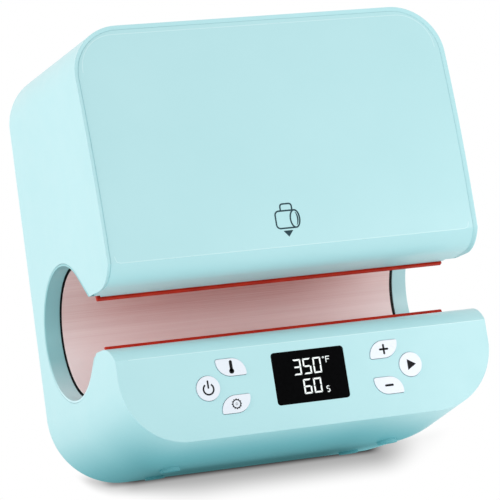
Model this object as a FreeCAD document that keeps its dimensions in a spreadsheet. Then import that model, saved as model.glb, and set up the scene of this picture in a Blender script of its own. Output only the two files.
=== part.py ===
# Tumbler heat press: mint body, through tunnel, front slot and two heated jaws.
# Frame: +Z up, front faces -Y, origin on the floor under the middle of the box. Millimetres.
import FreeCAD, Part
import Sketcher
import math
import os

os.makedirs("parts", exist_ok=True)
doc = FreeCAD.newDocument("TumblerHeatPress")
sheet = doc.addObject("Spreadsheet::Sheet", "Sizes")
V = FreeCAD.Vector


class Size:
    """A length or angle that knows its number and its spreadsheet expression."""

    def __init__(self, text, value):
        self.text = text
        self.value = value

    def _mix(self, other, sign, value, swap=False):
        if not isinstance(other, Size):
            other = Size("(%.10g)" % other, float(other))
        a, b = (other, self) if swap else (self, other)
        return Size("(%s %s %s)" % (a.text, sign, b.text), value(a.value, b.value))

    def __add__(self, other):
        return self._mix(other, "+", lambda a, b: a + b)

    def __sub__(self, other):
        return self._mix(other, "-", lambda a, b: a - b)

    def __rsub__(self, other):
        return self._mix(other, "-", lambda a, b: a - b, True)

    def __mul__(self, other):
        return self._mix(other, "*", lambda a, b: a * b)

    def __truediv__(self, other):
        return self._mix(other, "/", lambda a, b: a / b)

    def __rtruediv__(self, other):
        return self._mix(other, "/", lambda a, b: a / b, True)

    __radd__ = __add__
    __rmul__ = __mul__

    def __neg__(self):
        return 0 - self


def root(size):
    return Size("sqrt(%s)" % size.text, math.sqrt(size.value))


def sine(size):
    return Size("sin(%s * 1 deg)" % size.text, math.sin(math.radians(size.value)))


def cosine(size):
    return Size("cos(%s * 1 deg)" % size.text, math.cos(math.radians(size.value)))


def sized(value):
    """Plain numbers, such as 0, become sizes so that every input is bound the same way."""
    return value if isinstance(value, Size) else Size("%.10g" % value, float(value))


ROWS = []


def size(alias, value, note):
    """One driving size: a cell with its alias, and its meaning beside it."""
    row = len(ROWS) + 1
    ROWS.append(alias)
    sheet.set("A%d" % row, str(value))
    sheet.setAlias("A%d" % row, alias)
    sheet.set("B%d" % row, note)
    return Size("Sizes." + alias, float(value))


# Outer body
front_half = size("front_half", 145.6, "half width at the front, at the tunnel's height")
rear_half = size("rear_half", 150.6, "half width at the rear, at the tunnel's height")
front_lean = size("front_lean", 0.004, "front of the sides leans out by this per millimetre upwards")
rear_lean = size("rear_lean", -0.02, "the same at the rear, where the sides lean in")
depth = size("depth", 176, "front of the nose to the rear cover")
top_front = size("top_front", 316.7, "top of the front panel above the floor")
top_rear = size("top_rear", 318.3, "top at the rear above the floor")
foot_drop = size("foot_drop", 1.6, "the feet stand proud of the base by this")
panel_back = size("panel_back", 14.3, "control panel lies behind the nose by this")
underside_rise = size("underside_rise", 12, "base rises by this to the control panel")
underside_run = size("underside_run", 80, "length of that rise")
underside_blend = size("underside_blend", 12, "the rise fades out over twice this")
top_radius_front = size("top_radius_front", 37.5, "upper corners at the front")
top_radius_rear = size("top_radius_rear", 40.5, "upper corners at the rear")
low_radius_front = size("low_radius_front", 47.5, "lower corners at the front")
low_radius_rear = size("low_radius_rear", 53, "lower corners at the rear")
rear_round = size("rear_round", 10, "rounding of the rear edges")
wall = size("wall", 3, "wall of the plastic mouldings")
rear_lip = size("rear_lip", 9, "depth of the rear cover's rim")
seam = size("seam", 0.25, "gap between two mouldings")

# Tunnel and slot
tunnel_y = size("tunnel_y", 10.5, "tunnel axis, behind the middle")
tunnel_z = size("tunnel_z", 110, "tunnel axis above the floor")
tunnel_radius = size("tunnel_radius", 51.2, "round opening in the side walls")
slot_up = size("slot_up", 18.3, "slot's upper edge above the axis")
slot_down = size("slot_down", 22.4, "slot's lower edge below the axis")
nose_start = size("nose_start", 25.3, "nose begins to roll this far behind its front")
nose_drop = size("nose_drop", 1.9, "underside of the nose drops by this to its rear edge")
slot_corner = size("slot_corner", 5, "round corner where the slot's floor meets the tunnel")
crease_up = size("crease_up", 33.5, "upper crease above the axis")
crease_down = size("crease_down", 33.7, "lower crease below the axis")
bevel_run = size("bevel_run", 21.2, "depth of the bevel over the control panel")
panel_radius = size("panel_radius", 1050, "bulge of the upper front panel")
panel_lean = size("panel_lean", 15.3, "its foremost height above the upper crease")
recess = size("recess", 1.2, "upper front cover lies behind the rim by this")
facet = size("facet", 2.4, "width of the rim's facet")
cover_wall = size("cover_wall", 2.8, "wall of the upper front cover")

# Sleeve, jaws and their drive
liner_radius = size("liner_radius", 47.3, "inside of the liner sheet")
liner_thick = size("liner_thick", 0.5, "liner sheet")
mat_thick = size("mat_thick", 3, "silicone heater mat")
liner_half = size("liner_half", 135.3, "half length of the liner")
sleeve_shift = size("sleeve_shift", 1.2, "liner, mat and lips sit this far to the left")
upper_lip_half = size("upper_lip_half", 137.9, "half length of the upper lip strip")
lower_lip_half = size("lower_lip_half", 134.9, "half length of the lower lip strip")
mat_front = size("mat_front", 150.1, "angle from the rear where the mat ends")
lip_start = size("lip_start", 150.5, "angle where the lip strips begin")
lip_up = size("lip_up", 161.5, "angle where the upper lip strip ends")
lip_top = size("lip_top", 17.4, "top of the lower lip strip below the axis")
lip_lean = size("lip_lean", 4.3, "the lower lip strip leans back by this")
lip_gap = size("lip_gap", 2, "moulding edge to the mat")
ring_radius = size("ring_radius", 49.3, "inside of the tunnel rings")
ring_start = size("ring_start", 137.5, "inner end of the tunnel rings")
flange_radius = size("flange_radius", 56, "flange of the tunnel rings")
gasket_radius = size("gasket_radius", 49.6, "inside of the gaskets")
left_gasket_thick = size("left_gasket_thick", 0.8, "left gasket along the axis")
right_gasket_thick = size("right_gasket_thick", 2, "right gasket along the axis")
gasket_front = size("gasket_front", 149, "angle where the gaskets end")
jaw_gap = size("jaw_gap", 0.3, "heater mat to jaw shell")
jaw_thick = size("jaw_thick", 2, "jaw shell")
jaw_half = size("jaw_half", 134, "half length of the jaw shells")
jaw_rear = size("jaw_rear", 12, "angle from the rear where the jaw shells begin")
jaw_front = size("jaw_front", 152, "angle where the jaw shells end")
rib_radius = size("rib_radius", 60, "outside of the jaw ribs")
rib_rear = size("rib_rear", 10, "angle where the jaw ribs begin")
rib_front = size("rib_front", 72, "angle where the jaw ribs end")
rib_thick = size("rib_thick", 4, "jaw ribs along the axis")
rib_place = size("rib_place", 110, "outer jaw ribs from the middle")
pivot_back = size("pivot_back", 62, "hinge rods behind the tunnel axis")
pivot_rise = size("pivot_rise", 9, "hinge rods above and below the axis")
rod_radius = size("rod_radius", 3, "hinge rods")
bush_radius = size("bush_radius", 6, "bushes on the jaw ribs")
running = size("running", 0.05, "running clearance on a radius")
rail_thick = size("rail_thick", 3, "mat anchor rail")
rail_half = size("rail_half", 12, "height of the mat anchor rail")
web_thick = size("web_thick", 3, "web of the mat anchor rail")
plate_thick = size("plate_thick", 1.5, "steel plates of the chassis")
plate_front = size("plate_front", -32, "front edge of the side plates")
plate_low = size("plate_low", 38, "lower edge of the side plates")
plate_high = size("plate_high", 186, "upper edge of the side plates")
plate_hole = size("plate_hole", 52.2, "hole in the side plates")
cross_y = size("cross_y", 79.5, "front face of the rear cross plate")
cross_low = size("cross_low", 50, "lower edge of the rear cross plate")
gear_module = size("gear_module", 1, "gear teeth")
jaw_teeth = size("jaw_teeth", 18, "full tooth count of the jaw gears")
drive_teeth = size("drive_teeth", 72, "full tooth count of the drive sector")
pinion_teeth = size("pinion_teeth", 18, "teeth of the pinion")
gear_thick = size("gear_thick", 6, "gears along the axis")
drive_angle = size("drive_angle", 105, "pinion seen from the upper hinge")
pressure_angle = size("pressure_angle", 20, "gear teeth")
backlash = size("backlash", 0.12, "gear teeth at the pitch circle")
drive_place = size("drive_place", 98, "drive sector from the middle")
jaw_gear_place = size("jaw_gear_place", 113, "jaw gears from the middle")
motor_radius = size("motor_radius", 12.5, "gear motor")
motor_length = size("motor_length", 68, "gear motor")
bracket_place = size("bracket_place", 88.2, "motor bracket from the middle")
bracket_thick = size("bracket_thick", 2, "motor bracket")
shaft_radius = size("shaft_radius", 3, "pinion shaft")
felt_thick = size("felt_thick", 4, "insulation on the jaws")
shield_thick = size("shield_thick", 1, "heat shield")
fit = size("fit", 0.1, "small clearance between fixed pieces")

# Control panel
key_row = size("key_row", 49.6, "height of the key rows' middle")
key_step = size("key_step", 13.3, "leaf keys above and below that")
leaf_place = size("leaf_place", 60.2, "leaf keys from the middle")
leaf_width = size("leaf_width", 22.5, "leaf keys")
leaf_height = size("leaf_height", 12.6, "leaf keys")
leaf_round = size("leaf_round", 11, "two round corners of the leaf keys")
leaf_tip = size("leaf_tip", 1.2, "the other two corners")
round_place = size("round_place", 79.8, "round keys from the middle")
round_radius = size("round_radius", 8.9, "round keys")
key_proud = size("key_proud", 0.8, "keys stand proud of the panel")
key_travel = size("key_travel", 0.8, "travel of the keys")
key_gap = size("key_gap", 0.35, "gap round the keys")
key_flange = size("key_flange", 1.2, "flange behind the panel")
stem_radius = size("stem_radius", 1.5, "key stems")
window_width = size("window_width", 57, "display window")
window_height = size("window_height", 38, "display window")
window_round = size("window_round", 2.5, "round corners of the display window")
window_thick = size("window_thick", 2, "display window")
display_z = size("display_z", 50.3, "middle of the display")
display_width = size("display_width", 50, "display module")
display_height = size("display_height", 31, "display module")
board_back = size("board_back", 12, "control board behind the panel's face")
board_thick = size("board_thick", 1.6, "circuit boards")
board_half = size("board_half", 102, "half width of the control board")
board_low = size("board_low", 20, "lower edge of the control board")
board_high = size("board_high", 72, "upper edge of the control board")
post_radius = size("post_radius", 3, "board posts")
switch_side = size("switch_side", 6, "tact switches")
switch_depth = size("switch_depth", 3.5, "tact switches")

# Rear, base and electronics
boss_radius = size("boss_radius", 5, "screw bosses of the rear cover")
boss_length = size("boss_length", 20, "screw bosses of the rear cover")
mid_boss_z = size("mid_boss_z", 225, "middle bosses above the floor")
screw_radius = size("screw_radius", 1.5, "screw shanks")
head_radius = size("head_radius", 3, "screw heads")
head_height = size("head_height", 2, "screw heads")
foot_radius = size("foot_radius", 7.5, "rubber feet")
foot_sink = size("foot_sink", 1.8, "feet sit this deep in the base")
foot_front = size("foot_front", 6, "front feet")
foot_rear = size("foot_rear", 62, "rear feet")
foot_place_front = size("foot_place_front", 88, "front feet from the middle")
foot_place_rear = size("foot_place_rear", 80, "rear feet from the middle")
vent_width = size("vent_width", 4, "vent slots")
vent_height = size("vent_height", 34, "vent slots")
vent_pitch = size("vent_pitch", 9, "vent slots")
vent_low = size("vent_low", 212, "lower end of the vent slots")
inlet_x = size("inlet_x", 96, "power inlet")
inlet_z = size("inlet_z", 34, "power inlet")
inlet_width = size("inlet_width", 27, "power inlet")
inlet_height = size("inlet_height", 19.5, "power inlet")
inlet_depth = size("inlet_depth", 22, "power inlet")
rocker_x = size("rocker_x", 62, "rocker switch")
rocker_width = size("rocker_width", 15, "rocker switch")
rocker_height = size("rocker_height", 21, "rocker switch")
rocker_depth = size("rocker_depth", 18, "rocker switch")
rocker_tilt = size("rocker_tilt", 7, "rocker from level")
rocker_pivot = size("rocker_pivot", 8.3, "rocker pivot inside the rear face")
trunnion_radius = size("trunnion_radius", 1.5, "pins that the rocker turns on")
main_x = size("main_x", -118, "power board's left edge")
main_y = size("main_y", -42, "power board's front edge")
main_width = size("main_width", 150, "power board")
main_depth = size("main_depth", 100, "power board")
standoff = size("standoff", 10, "power board above the heat shield")
wire_radius = size("wire_radius", 0.9, "insulated wires")
heater_wire_x = size("heater_wire_x", -123, "heater's wire up the rear")
mains_wire_x = size("mains_wire_x", 28, "mains wire up the rear")
ribbon_x = size("ribbon_x", -100, "left edge of the ribbon cable")
ribbon_width = size("ribbon_width", 16, "ribbon cable")
ribbon_thick = size("ribbon_thick", 0.8, "ribbon cable")
rail_left = size("rail_left", -105, "left end of the mat anchor rail")
rail_length = size("rail_length", 195, "mat anchor rail")
plug_step = size("plug_step", 8, "wires turn this far sideways to reach the power board")

front_y = -depth / 2
rear_y = depth / 2
base_z = foot_drop
panel_y = front_y + panel_back
flat_y = panel_y + underside_run
crease_z = tunnel_z + crease_up
low_crease_z = tunnel_z - crease_down
slot_top_z = tunnel_z + slot_up
slot_low_z = tunnel_z - slot_down
nose_y = front_y + nose_start
bevel_y = panel_y + bevel_run
bulge_z = crease_z + panel_lean
bulge_y = front_y + panel_radius
seam_y = rear_y - rear_lip
bulge_start = bulge_y - root(panel_radius * panel_radius - panel_lean * panel_lean)
half_grow = (rear_half - front_half) / depth
lean_grow = (rear_lean - front_lean) / depth
top_grow = (top_rear - top_front) / depth


def bind(obj, name, value):
    """The property follows the sheet."""
    value = sized(value)
    obj.setExpression(name, value.text)


def place(obj, x, y, z):
    for axis, value in zip("xyz", (x, y, z)):
        bind(obj, ".Placement.Base." + axis, value)
    return obj


def box(name, x, y, z, length, width, height):
    """A box from its lowest corner."""
    obj = doc.addObject("Part::Box", name)
    bind(obj, "Length", length)
    bind(obj, "Width", width)
    bind(obj, "Height", height)
    return place(obj, x, y, z)


TURN = {"x": (V(0, 1, 0), 90), "y": (V(1, 0, 0), -90), "z": (V(0, 0, 1), 0)}


def rod(name, axis, x, y, z, radius, length):
    """A cylinder from its start point along +axis."""
    obj = doc.addObject("Part::Cylinder", name)
    obj.Placement = FreeCAD.Placement(V(0, 0, 0), FreeCAD.Rotation(*TURN[axis]))
    bind(obj, "Radius", radius)
    bind(obj, "Height", length)
    return place(obj, x, y, z)


def fuse(name, *shapes):
    if len(shapes) == 1:
        return shapes[0]
    obj = doc.addObject("Part::MultiFuse", name)
    obj.Shapes = list(shapes)
    return obj


def cut(name, base, *tools):
    obj = doc.addObject("Part::Cut", name)
    obj.Base = base
    obj.Tool = fuse(name + "Tools", *tools)
    return obj


def common(name, a, b):
    obj = doc.addObject("Part::Common", name)
    obj.Base = a
    obj.Tool = b
    return obj


def group(name, *shapes):
    """Separate solids in one node."""
    obj = doc.addObject("Part::Compound", name)
    obj.Links = list(shapes)
    return obj


def plane_of(body, role):
    return [o for o in body.Origin.OriginFeatures if o.Role == role][0]


def new_sketch(body, role, offset, name="Sketch"):
    """A sketch on one of the body's own planes, moved along the plane's normal."""
    sketch = body.newObject("Sketcher::SketchObject", name)
    sketch.AttachmentSupport = (plane_of(body, role), [""])
    sketch.MapMode = "FlatFace"
    bind(sketch, ".AttachmentOffset.Base.z", offset)
    return sketch


def draw_circle(sketch, u, v, radius):
    circle = Part.Circle(V(u.value, v.value, 0), V(0, 0, 1), radius.value)
    index = sketch.addGeometry(circle, False)
    hold(sketch, Sketcher.Constraint("Radius", index, radius.value), radius)
    hold(sketch, Sketcher.Constraint("DistanceX", index, 3, u.value), u)
    hold(sketch, Sketcher.Constraint("DistanceY", index, 3, v.value), v)


def draw(sketch, points):
    """A closed outline. Each point is (u, v), or (u, v, centre u, centre v, turn) for an arc to it."""
    if len(points) == 1:
        draw_circle(sketch, *[sized(value) for value in points[0]])
        return
    spots = [(sized(p[0]), sized(p[1])) for p in points]
    ends = []
    for i, point in enumerate(points):
        start, stop = spots[i - 1], spots[i]
        a = V(start[0].value, start[1].value, 0)
        b = V(stop[0].value, stop[1].value, 0)
        if len(point) == 2:
            index = sketch.addGeometry(Part.LineSegment(a, b), False)
            ends.append((index, 1, 2))
            continue
        cu, cv = sized(point[2]), sized(point[3])
        radius = root((stop[0] - cu) * (stop[0] - cu) + (stop[1] - cv) * (stop[1] - cv))
        centre = V(cu.value, cv.value, 0)
        from_angle = math.atan2(a.y - centre.y, a.x - centre.x)
        to_angle = math.atan2(b.y - centre.y, b.x - centre.x)
        ccw = point[4] > 0
        angles = (from_angle, to_angle) if ccw else (to_angle, from_angle)
        circle = Part.Circle(centre, V(0, 0, 1), radius.value)
        index = sketch.addGeometry(Part.ArcOfCircle(circle, *angles), False)
        ends.append((index, 1, 2) if ccw else (index, 2, 1))
        hold(sketch, Sketcher.Constraint("Radius", index, radius.value), radius)
    for i, (index, start, stop) in enumerate(ends):
        nxt = ends[(i + 1) % len(ends)]
        sketch.addConstraint(Sketcher.Constraint("Coincident", index, stop, nxt[0], nxt[1]))
        hold(sketch, Sketcher.Constraint("DistanceX", index, stop, spots[i][0].value), spots[i][0])
        hold(sketch, Sketcher.Constraint("DistanceY", index, stop, spots[i][1].value), spots[i][1])


def hold(sketch, constraint, value):
    index = sketch.addConstraint(constraint)
    sketch.setExpression("Constraints[%d]" % index, value.text)


ROLE = {"x": "YZ_Plane", "y": "XZ_Plane", "z": "XY_Plane"}


def prism(name, axis, start, length, *outlines):
    """Outlines in the plane across the axis, padded from start along the axis."""
    body = doc.addObject("PartDesign::Body", name)
    sketch = new_sketch(body, ROLE[axis], -start if axis == "y" else start)
    for points in outlines:
        draw(sketch, points)
    pad = body.newObject("PartDesign::Pad", "Pad")
    pad.Profile = sketch
    bind(pad, "Length", length)
    if axis == "y":
        pad.Reversed = True
    sketch.Visibility = False
    return body


def half_at(y, z):
    lean = front_lean + lean_grow * (y - front_y)
    return front_half + half_grow * (y - front_y) + lean * (z - tunnel_z)


def top_at(y):
    return top_front + top_grow * (y - front_y)


def top_radius_at(y):
    return top_radius_front + (top_radius_rear - top_radius_front) / depth * (y - front_y)


def low_radius_at(y):
    return low_radius_front + (low_radius_rear - low_radius_front) / depth * (y - front_y)


def rounded(y, low, inside):
    """The body across Y, moved inwards: leaning sides, and round corners, smaller above than below."""
    low_radius = low_radius_at(y) - inside
    high_radius = top_radius_at(y) - inside
    low_c = low + low_radius_at(y)
    high_c = top_at(y) - top_radius_at(y)
    low_half = half_at(y, low_c) - inside
    high_half = half_at(y, high_c) - inside
    low_x = low_half - low_radius
    high_x = high_half - high_radius
    return [
        (low_half, low_c, low_x, low_c, 1),
        (high_half, high_c),
        (high_x, high_c + high_radius, high_x, high_c, 1),
        (-high_x, high_c + high_radius),
        (-high_half, high_c, -high_x, high_c, 1),
        (-low_half, low_c),
        (-low_x, low_c - low_radius, -low_x, low_c, 1),
        (low_x, low_c - low_radius),
    ]


def envelope(name, inset, last_y, rounding):
    """The body's outer form, or a smaller one inside it: outlines across Y, lofted."""
    body = doc.addObject("PartDesign::Body", name)
    slope = underside_rise / underside_run
    start = front_y - wall
    stations = [(start, base_z + slope * (flat_y - start), inset)]
    for step in (1, 0.5, 0, -0.5, -1):
        run = underside_blend * (1 + step)
        low = base_z + slope * run * run / (4 * underside_blend)
        stations.append((flat_y - underside_blend * step, low, inset))
    for turn in (0, 22.5, 45, 67.5, 90):
        bend = math.radians(turn)
        y = last_y - rounding * (1 - math.sin(bend))
        stations.append((y, base_z, inset + rounding * (1 - math.cos(bend))))
    sections = []
    for i, (y, low, inside) in enumerate(stations):
        sketch = new_sketch(body, "XZ_Plane", -y, "Outline%d" % i)
        draw(sketch, rounded(y, low, inside))
        sections.append(sketch)
    loft = body.newObject("PartDesign::AdditiveLoft", "Loft")
    loft.Profile = sections[0]
    loft.Sections = sections[1:]
    loft.Ruled = True
    return body


def tangent_arc(y0, z0, y1, z1):
    """Signed radius of the arc that leaves (y0, z0) level and ends at (y1, z1)."""
    return ((y1 - y0) * (y1 - y0) + (z1 - z0) * (z1 - z0)) / (2 * (z1 - z0))


high_z = top_rear + 12
deep_z = base_z - 12


def upper_path(offset, last):
    """Underside, nose and bulging panel, moved inwards by offset, from the slot up to last."""
    low = slot_top_z + offset
    reach = panel_radius - offset
    crease_y = bulge_y - root(reach * reach - panel_lean * panel_lean)
    nose = tangent_arc(nose_y, low, crease_y, crease_z)
    rise = last - bulge_z
    top_y = bulge_y - root(reach * reach - rise * rise)
    return [
        (nose_y, low),
        (crease_y, crease_z, nose_y, low + nose, -1),
        (top_y, last, bulge_y, bulge_z, -1),
    ]


def bevel_arc():
    return tangent_arc(bevel_y, slot_low_z, panel_y, low_crease_z)


HALF = math.sqrt(0.5)


def flared(radius, up, down):
    """A circle round the tunnel that runs out straight towards the slot, from below to above."""
    reach = radius * HALF
    far = radius / HALF
    return [
        (tunnel_y + down - far, tunnel_z - down),
        (tunnel_y - reach, tunnel_z - reach),
        (tunnel_y - reach, tunnel_z + reach, tunnel_y, tunnel_z, 1),
        (tunnel_y + up - far, tunnel_z + up),
    ]


corner_run = slot_corner * math.tan(math.radians(22.5))


def body_profile():
    """The body from the side: panel, bevel, slot, tunnel, nose and upper panel."""
    opening = flared(tunnel_radius, slot_up, slot_down)
    tip_y = opening[0][0]
    round_y = tip_y - corner_run
    beyond = rear_y + wall
    return [
        (beyond, deep_z),
        (panel_y, deep_z),
        (panel_y, low_crease_z),
        (bevel_y, slot_low_z, bevel_y, slot_low_z + bevel_arc(), -1),
        (round_y, slot_low_z),
        (tip_y + corner_run * HALF, slot_low_z - corner_run * HALF, round_y, slot_low_z - slot_corner, -1),
    ] + opening[1:] + upper_path(sized(0), high_z) + [(beyond, high_z)]


beyond_x = rear_half + wall
outer = envelope("Envelope", sized(0), rear_y, rear_round)
hollow = envelope("Hollow", wall, rear_y - wall, rear_round - wall)
profile = prism("SideProfile", "x", -beyond_x, 2 * beyond_x, body_profile())

mat_radius = liner_radius + liner_thick
mat_outer = mat_radius + mat_thick
jaw_radius = mat_outer + jaw_gap
jaw_outer = jaw_radius + jaw_thick
NODES = []


def node(label, obj):
    """A finished piece of the press, exported under its label."""
    obj.Label = label
    NODES.append(obj)
    return obj


def chord(radius, height):
    """How far a circle of this radius reaches forward at this height from its axis."""
    return root(radius * radius - height * height)


def mirrored(side, x, length):
    """Start of a pad of this length that begins at x on the right, or its mirror on the left."""
    return x if side > 0 else -(x + length)


def sector(name, x, length, r_in, r_out, a_start, a_stop, cy=None, cz=None):
    """Part of a ring round the tunnel axis, between two angles from the rear, upwards positive."""
    cy = tunnel_y if cy is None else cy
    cz = tunnel_z if cz is None else cz
    a_start, a_stop = sized(a_start), sized(a_stop)
    c0, s0, c1, s1 = cosine(a_start), sine(a_start), cosine(a_stop), sine(a_stop)
    points = [
        (cy + r_in * c0, cz + r_in * s0),
        (cy + r_out * c0, cz + r_out * s0),
        (cy + r_out * c1, cz + r_out * s1, cy, cz, 1),
        (cy + r_in * c1, cz + r_in * s1),
        (cy + r_in * c0, cz + r_in * s0, cy, cz, -1),
    ]
    return prism(name, "x", x, length, points[1:])


# Mouldings of the body


def lower_front():
    """Control panel, bevel and the floor of the slot, as one plate."""
    edge_y = tunnel_y - chord(mat_outer, slot_down) - lip_gap
    bevel_z = slot_low_z + bevel_arc()
    inner = -bevel_arc() - wall
    inner_z = bevel_z + chord(inner, bevel_run - wall)
    points = [
        (panel_y, deep_z),
        (panel_y, low_crease_z),
        (bevel_y, slot_low_z, bevel_y, bevel_z, -1),
        (edge_y, slot_low_z),
        (edge_y, slot_low_z - wall),
        (bevel_y, slot_low_z - wall),
        (panel_y + wall, inner_z, bevel_y, bevel_z, 1),
        (panel_y + wall, deep_z),
    ]
    plate = prism("LowerFrontSection", "x", -beyond_x, 2 * beyond_x, points)
    tip_y = flared(tunnel_radius, slot_up, slot_down)[0][0] - corner_run
    notches = ring_notches("FloorNotch", tip_y, slot_low_z - 2 * wall)
    return cut("LowerFrontCut", common("LowerFront", outer, plate), *notches)


def ring_notches(name, y, z):
    """Room at both ends of the slot's floor or ceiling for the straight ends of the tunnel rings."""
    notches = []
    for side in (-1, 1):
        start = mirrored(side, ring_start - 3 * fit, wall * 6)
        notches.append(box(name, start, y, z, wall * 6, wall * 4, wall * 4))
    return notches


def leaf(x, z, grow, flip):
    """Key outline with two small and two large round corners."""
    w = leaf_width / 2 + grow
    h = leaf_height / 2 + grow
    r = leaf_round + grow
    tip = leaf_tip + grow
    return [
        (x - flip * (w - tip), z + h, x - flip * (w - tip), z + h - tip, -flip),
        (x + flip * (w - r), z + h),
        (x + flip * w, z + h - r, x + flip * (w - r), z + h - r, -flip),
        (x + flip * w, z - h + tip),
        (x + flip * (w - tip), z - h, x + flip * (w - tip), z - h + tip, -flip),
        (x - flip * (w - r), z - h),
        (x - flip * w, z - h + r, x - flip * (w - r), z - h + r, -flip),
        (x - flip * w, z + h - tip),
    ]


KEYS = {
    "key_power": ("round", -1, 0),
    "key_temperature": ("leaf", -1, 1),
    "key_timer": ("leaf", -1, -1),
    "key_plus": ("leaf", 1, 1),
    "key_minus": ("leaf", 1, -1),
    "key_start": ("round", 1, 0),
}


def key_centre(name):
    kind, side, row = KEYS[name]
    place_x = round_place if kind == "round" else leaf_place
    return side * place_x, key_row + row * key_step


def key_outline(name, grow):
    kind, side, row = KEYS[name]
    x, z = key_centre(name)
    if kind == "round":
        return [(x, z, round_radius + grow)]
    return leaf(x, z, grow, 1 if side * row < 0 else -1)


def window_outline(grow):
    x = window_width / 2 + grow
    low = display_z - window_height / 2 - grow
    high = display_z + window_height / 2 + grow
    r = window_round + grow
    return [
        (x, low + r, x - r, low + r, 1),
        (x, high - r),
        (x - r, high, x - r, high - r, 1),
        (r - x, high),
        (-x, high - r, r - x, high - r, 1),
        (-x, low + r),
        (r - x, low, r - x, low + r, 1),
        (x - r, low),
    ]


def panel_holes():
    outlines = [key_outline(name, key_gap) for name in KEYS]
    outlines.append(window_outline(fit))
    return prism("PanelHoles", "y", panel_y - wall, 3 * wall, *outlines)


def rear_boss_places():
    """Screw bosses at the four corners and half way up each side."""
    tuck = wall + boss_radius - 0.4
    low_c = low_radius_at(seam_y)
    high_c = top_radius_at(seam_y)
    low_in = low_c - (low_c - tuck) * HALF
    high_in = high_c - (high_c - tuck) * HALF
    low_half = half_at(seam_y, base_z + low_c)
    high_half = half_at(seam_y, top_at(seam_y) - high_c)
    places = []
    for side in (-1, 1):
        places.append((side * (low_half - low_in), base_z + low_in))
        places.append((side * (high_half - high_in), top_at(seam_y) - high_in))
        places.append((side * (half_at(seam_y, mid_boss_z) - tuck), mid_boss_z))
    return places


def foot_places():
    places = []
    for side in (-1, 1):
        places.append((side * foot_place_front, foot_front))
        places.append((side * foot_place_rear, foot_rear))
    return places


plate_x = ring_start + fit
flange_x = plate_x + plate_thick + fit
pilot_radius = screw_radius + fit
hole_radius = screw_radius + 2 * fit
pivot_y = tunnel_y + pivot_back
drive_reach = (drive_teeth + pinion_teeth) / 2 * gear_module
motor_y = pivot_y + drive_reach * cosine(drive_angle)
motor_z = tunnel_z + pivot_rise + drive_reach * sine(drive_angle)
shaft_start = bracket_place - 12
PLATE_SCREWS = [(plate_front + 9, plate_high - 10), (cross_y - 9, plate_high - 10)]
PLATE_SCREWS += [(plate_front + 9, plate_low + 10), (cross_y - 9, plate_low + 10)]
BOARD_SCREWS = [(side * (board_half - 5), z) for side in (-1, 1) for z in (board_low + 5, board_high - 5)]


def side_bosses():
    """Posts on the side walls that the side plates are screwed to."""
    length = rear_half - flange_x
    posts = []
    for side in (-1, 1):
        for y, z in PLATE_SCREWS:
            start = mirrored(side, flange_x, length)
            posts.append(rod("SideBoss", "x", start, y, z, boss_radius - 1, length))
    return common("SideBosses", fuse("SideBossRods", *posts), outer)


def cover_ledges():
    """Ledge on the side walls and the roof that the upper front cover rests against."""
    start = recess + cover_wall + fit
    front = upper_path(start, high_z)
    back = upper_path(start + wall, high_z)
    corner = back[1][:2] + (bulge_y, bulge_z, 1)
    outline = [front[1][:2], front[2], (back[2][0], high_z), corner]
    strip = prism("LedgeSection", "x", -beyond_x, 2 * beyond_x, outline)
    inner = envelope("LedgeHollow", wall * 2, rear_y - wall, rear_round - wall)
    return common("Ledge", cut("LedgeBand", outer, inner), strip)


def shell_rim():
    """Side walls, roof and floor, with the facet round the upper front cover."""
    walls = common("ShellSides", cut("Walls", outer, hollow), profile)
    length = seam_y - front_y + wall
    room = box("BeforeSeam", -beyond_x, front_y - wall, deep_z, 2 * beyond_x, length, high_z - deep_z)
    tube = common("ShellTube", walls, room)
    doc.recompute()
    return tube


def on_rim(point):
    """True on the line where a wall's inner face meets the nose or the bulging front."""
    y, z = sized(point.y), point.z
    side = half_at(y, sized(z)).value - abs(point.x)
    roof = top_at(y).value - z
    corner = top_radius_at(y).value
    inside = min(side, roof)
    if side < corner and roof < corner:
        inside = corner - math.hypot(corner - side, corner - roof)
    if abs(inside - wall.value) > 0.3:
        return False
    if z > crease_z.value:
        front = math.hypot(point.y - bulge_y.value, z - bulge_z.value) - panel_radius.value
    else:
        nose = tangent_arc(nose_y, slot_top_z, bulge_start, crease_z).value
        front = math.hypot(point.y - nose_y.value, z - slot_top_z.value - nose) - nose
    return abs(front) < 0.05


def rim_facet(tube):
    """Facet on the rim round the upper front cover."""
    facet_cut = doc.addObject("Part::Chamfer", "RimFacet")
    facet_cut.Base = tube
    chosen = []
    for index, edge in enumerate(tube.Shape.Edges):
        first, span = edge.FirstParameter, edge.LastParameter - edge.FirstParameter
        if all(on_rim(edge.valueAt(first + part * span)) for part in (0.1, 0.5, 0.9)):
            chosen.append((index + 1, recess.value + 0.3, facet.value))
    facet_cut.Edges = chosen
    return facet_cut


def housing_shell():
    tube = rim_facet(shell_rim())
    bosses = [
        rod("RearBoss", "y", x, seam_y - boss_length, z, boss_radius, boss_length)
        for x, z in rear_boss_places()
    ]
    reach = board_back - wall / 2 - fit
    posts = [rod("PanelPost", "y", x, panel_y + wall / 2, z, post_radius, reach) for x, z in BOARD_SCREWS]
    solid = fuse("ShellSolid", tube, lower_front(), side_bosses(), cover_ledges(), *(bosses + posts))
    return cut("HousingShell", solid, panel_holes(), *shell_holes())


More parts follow.
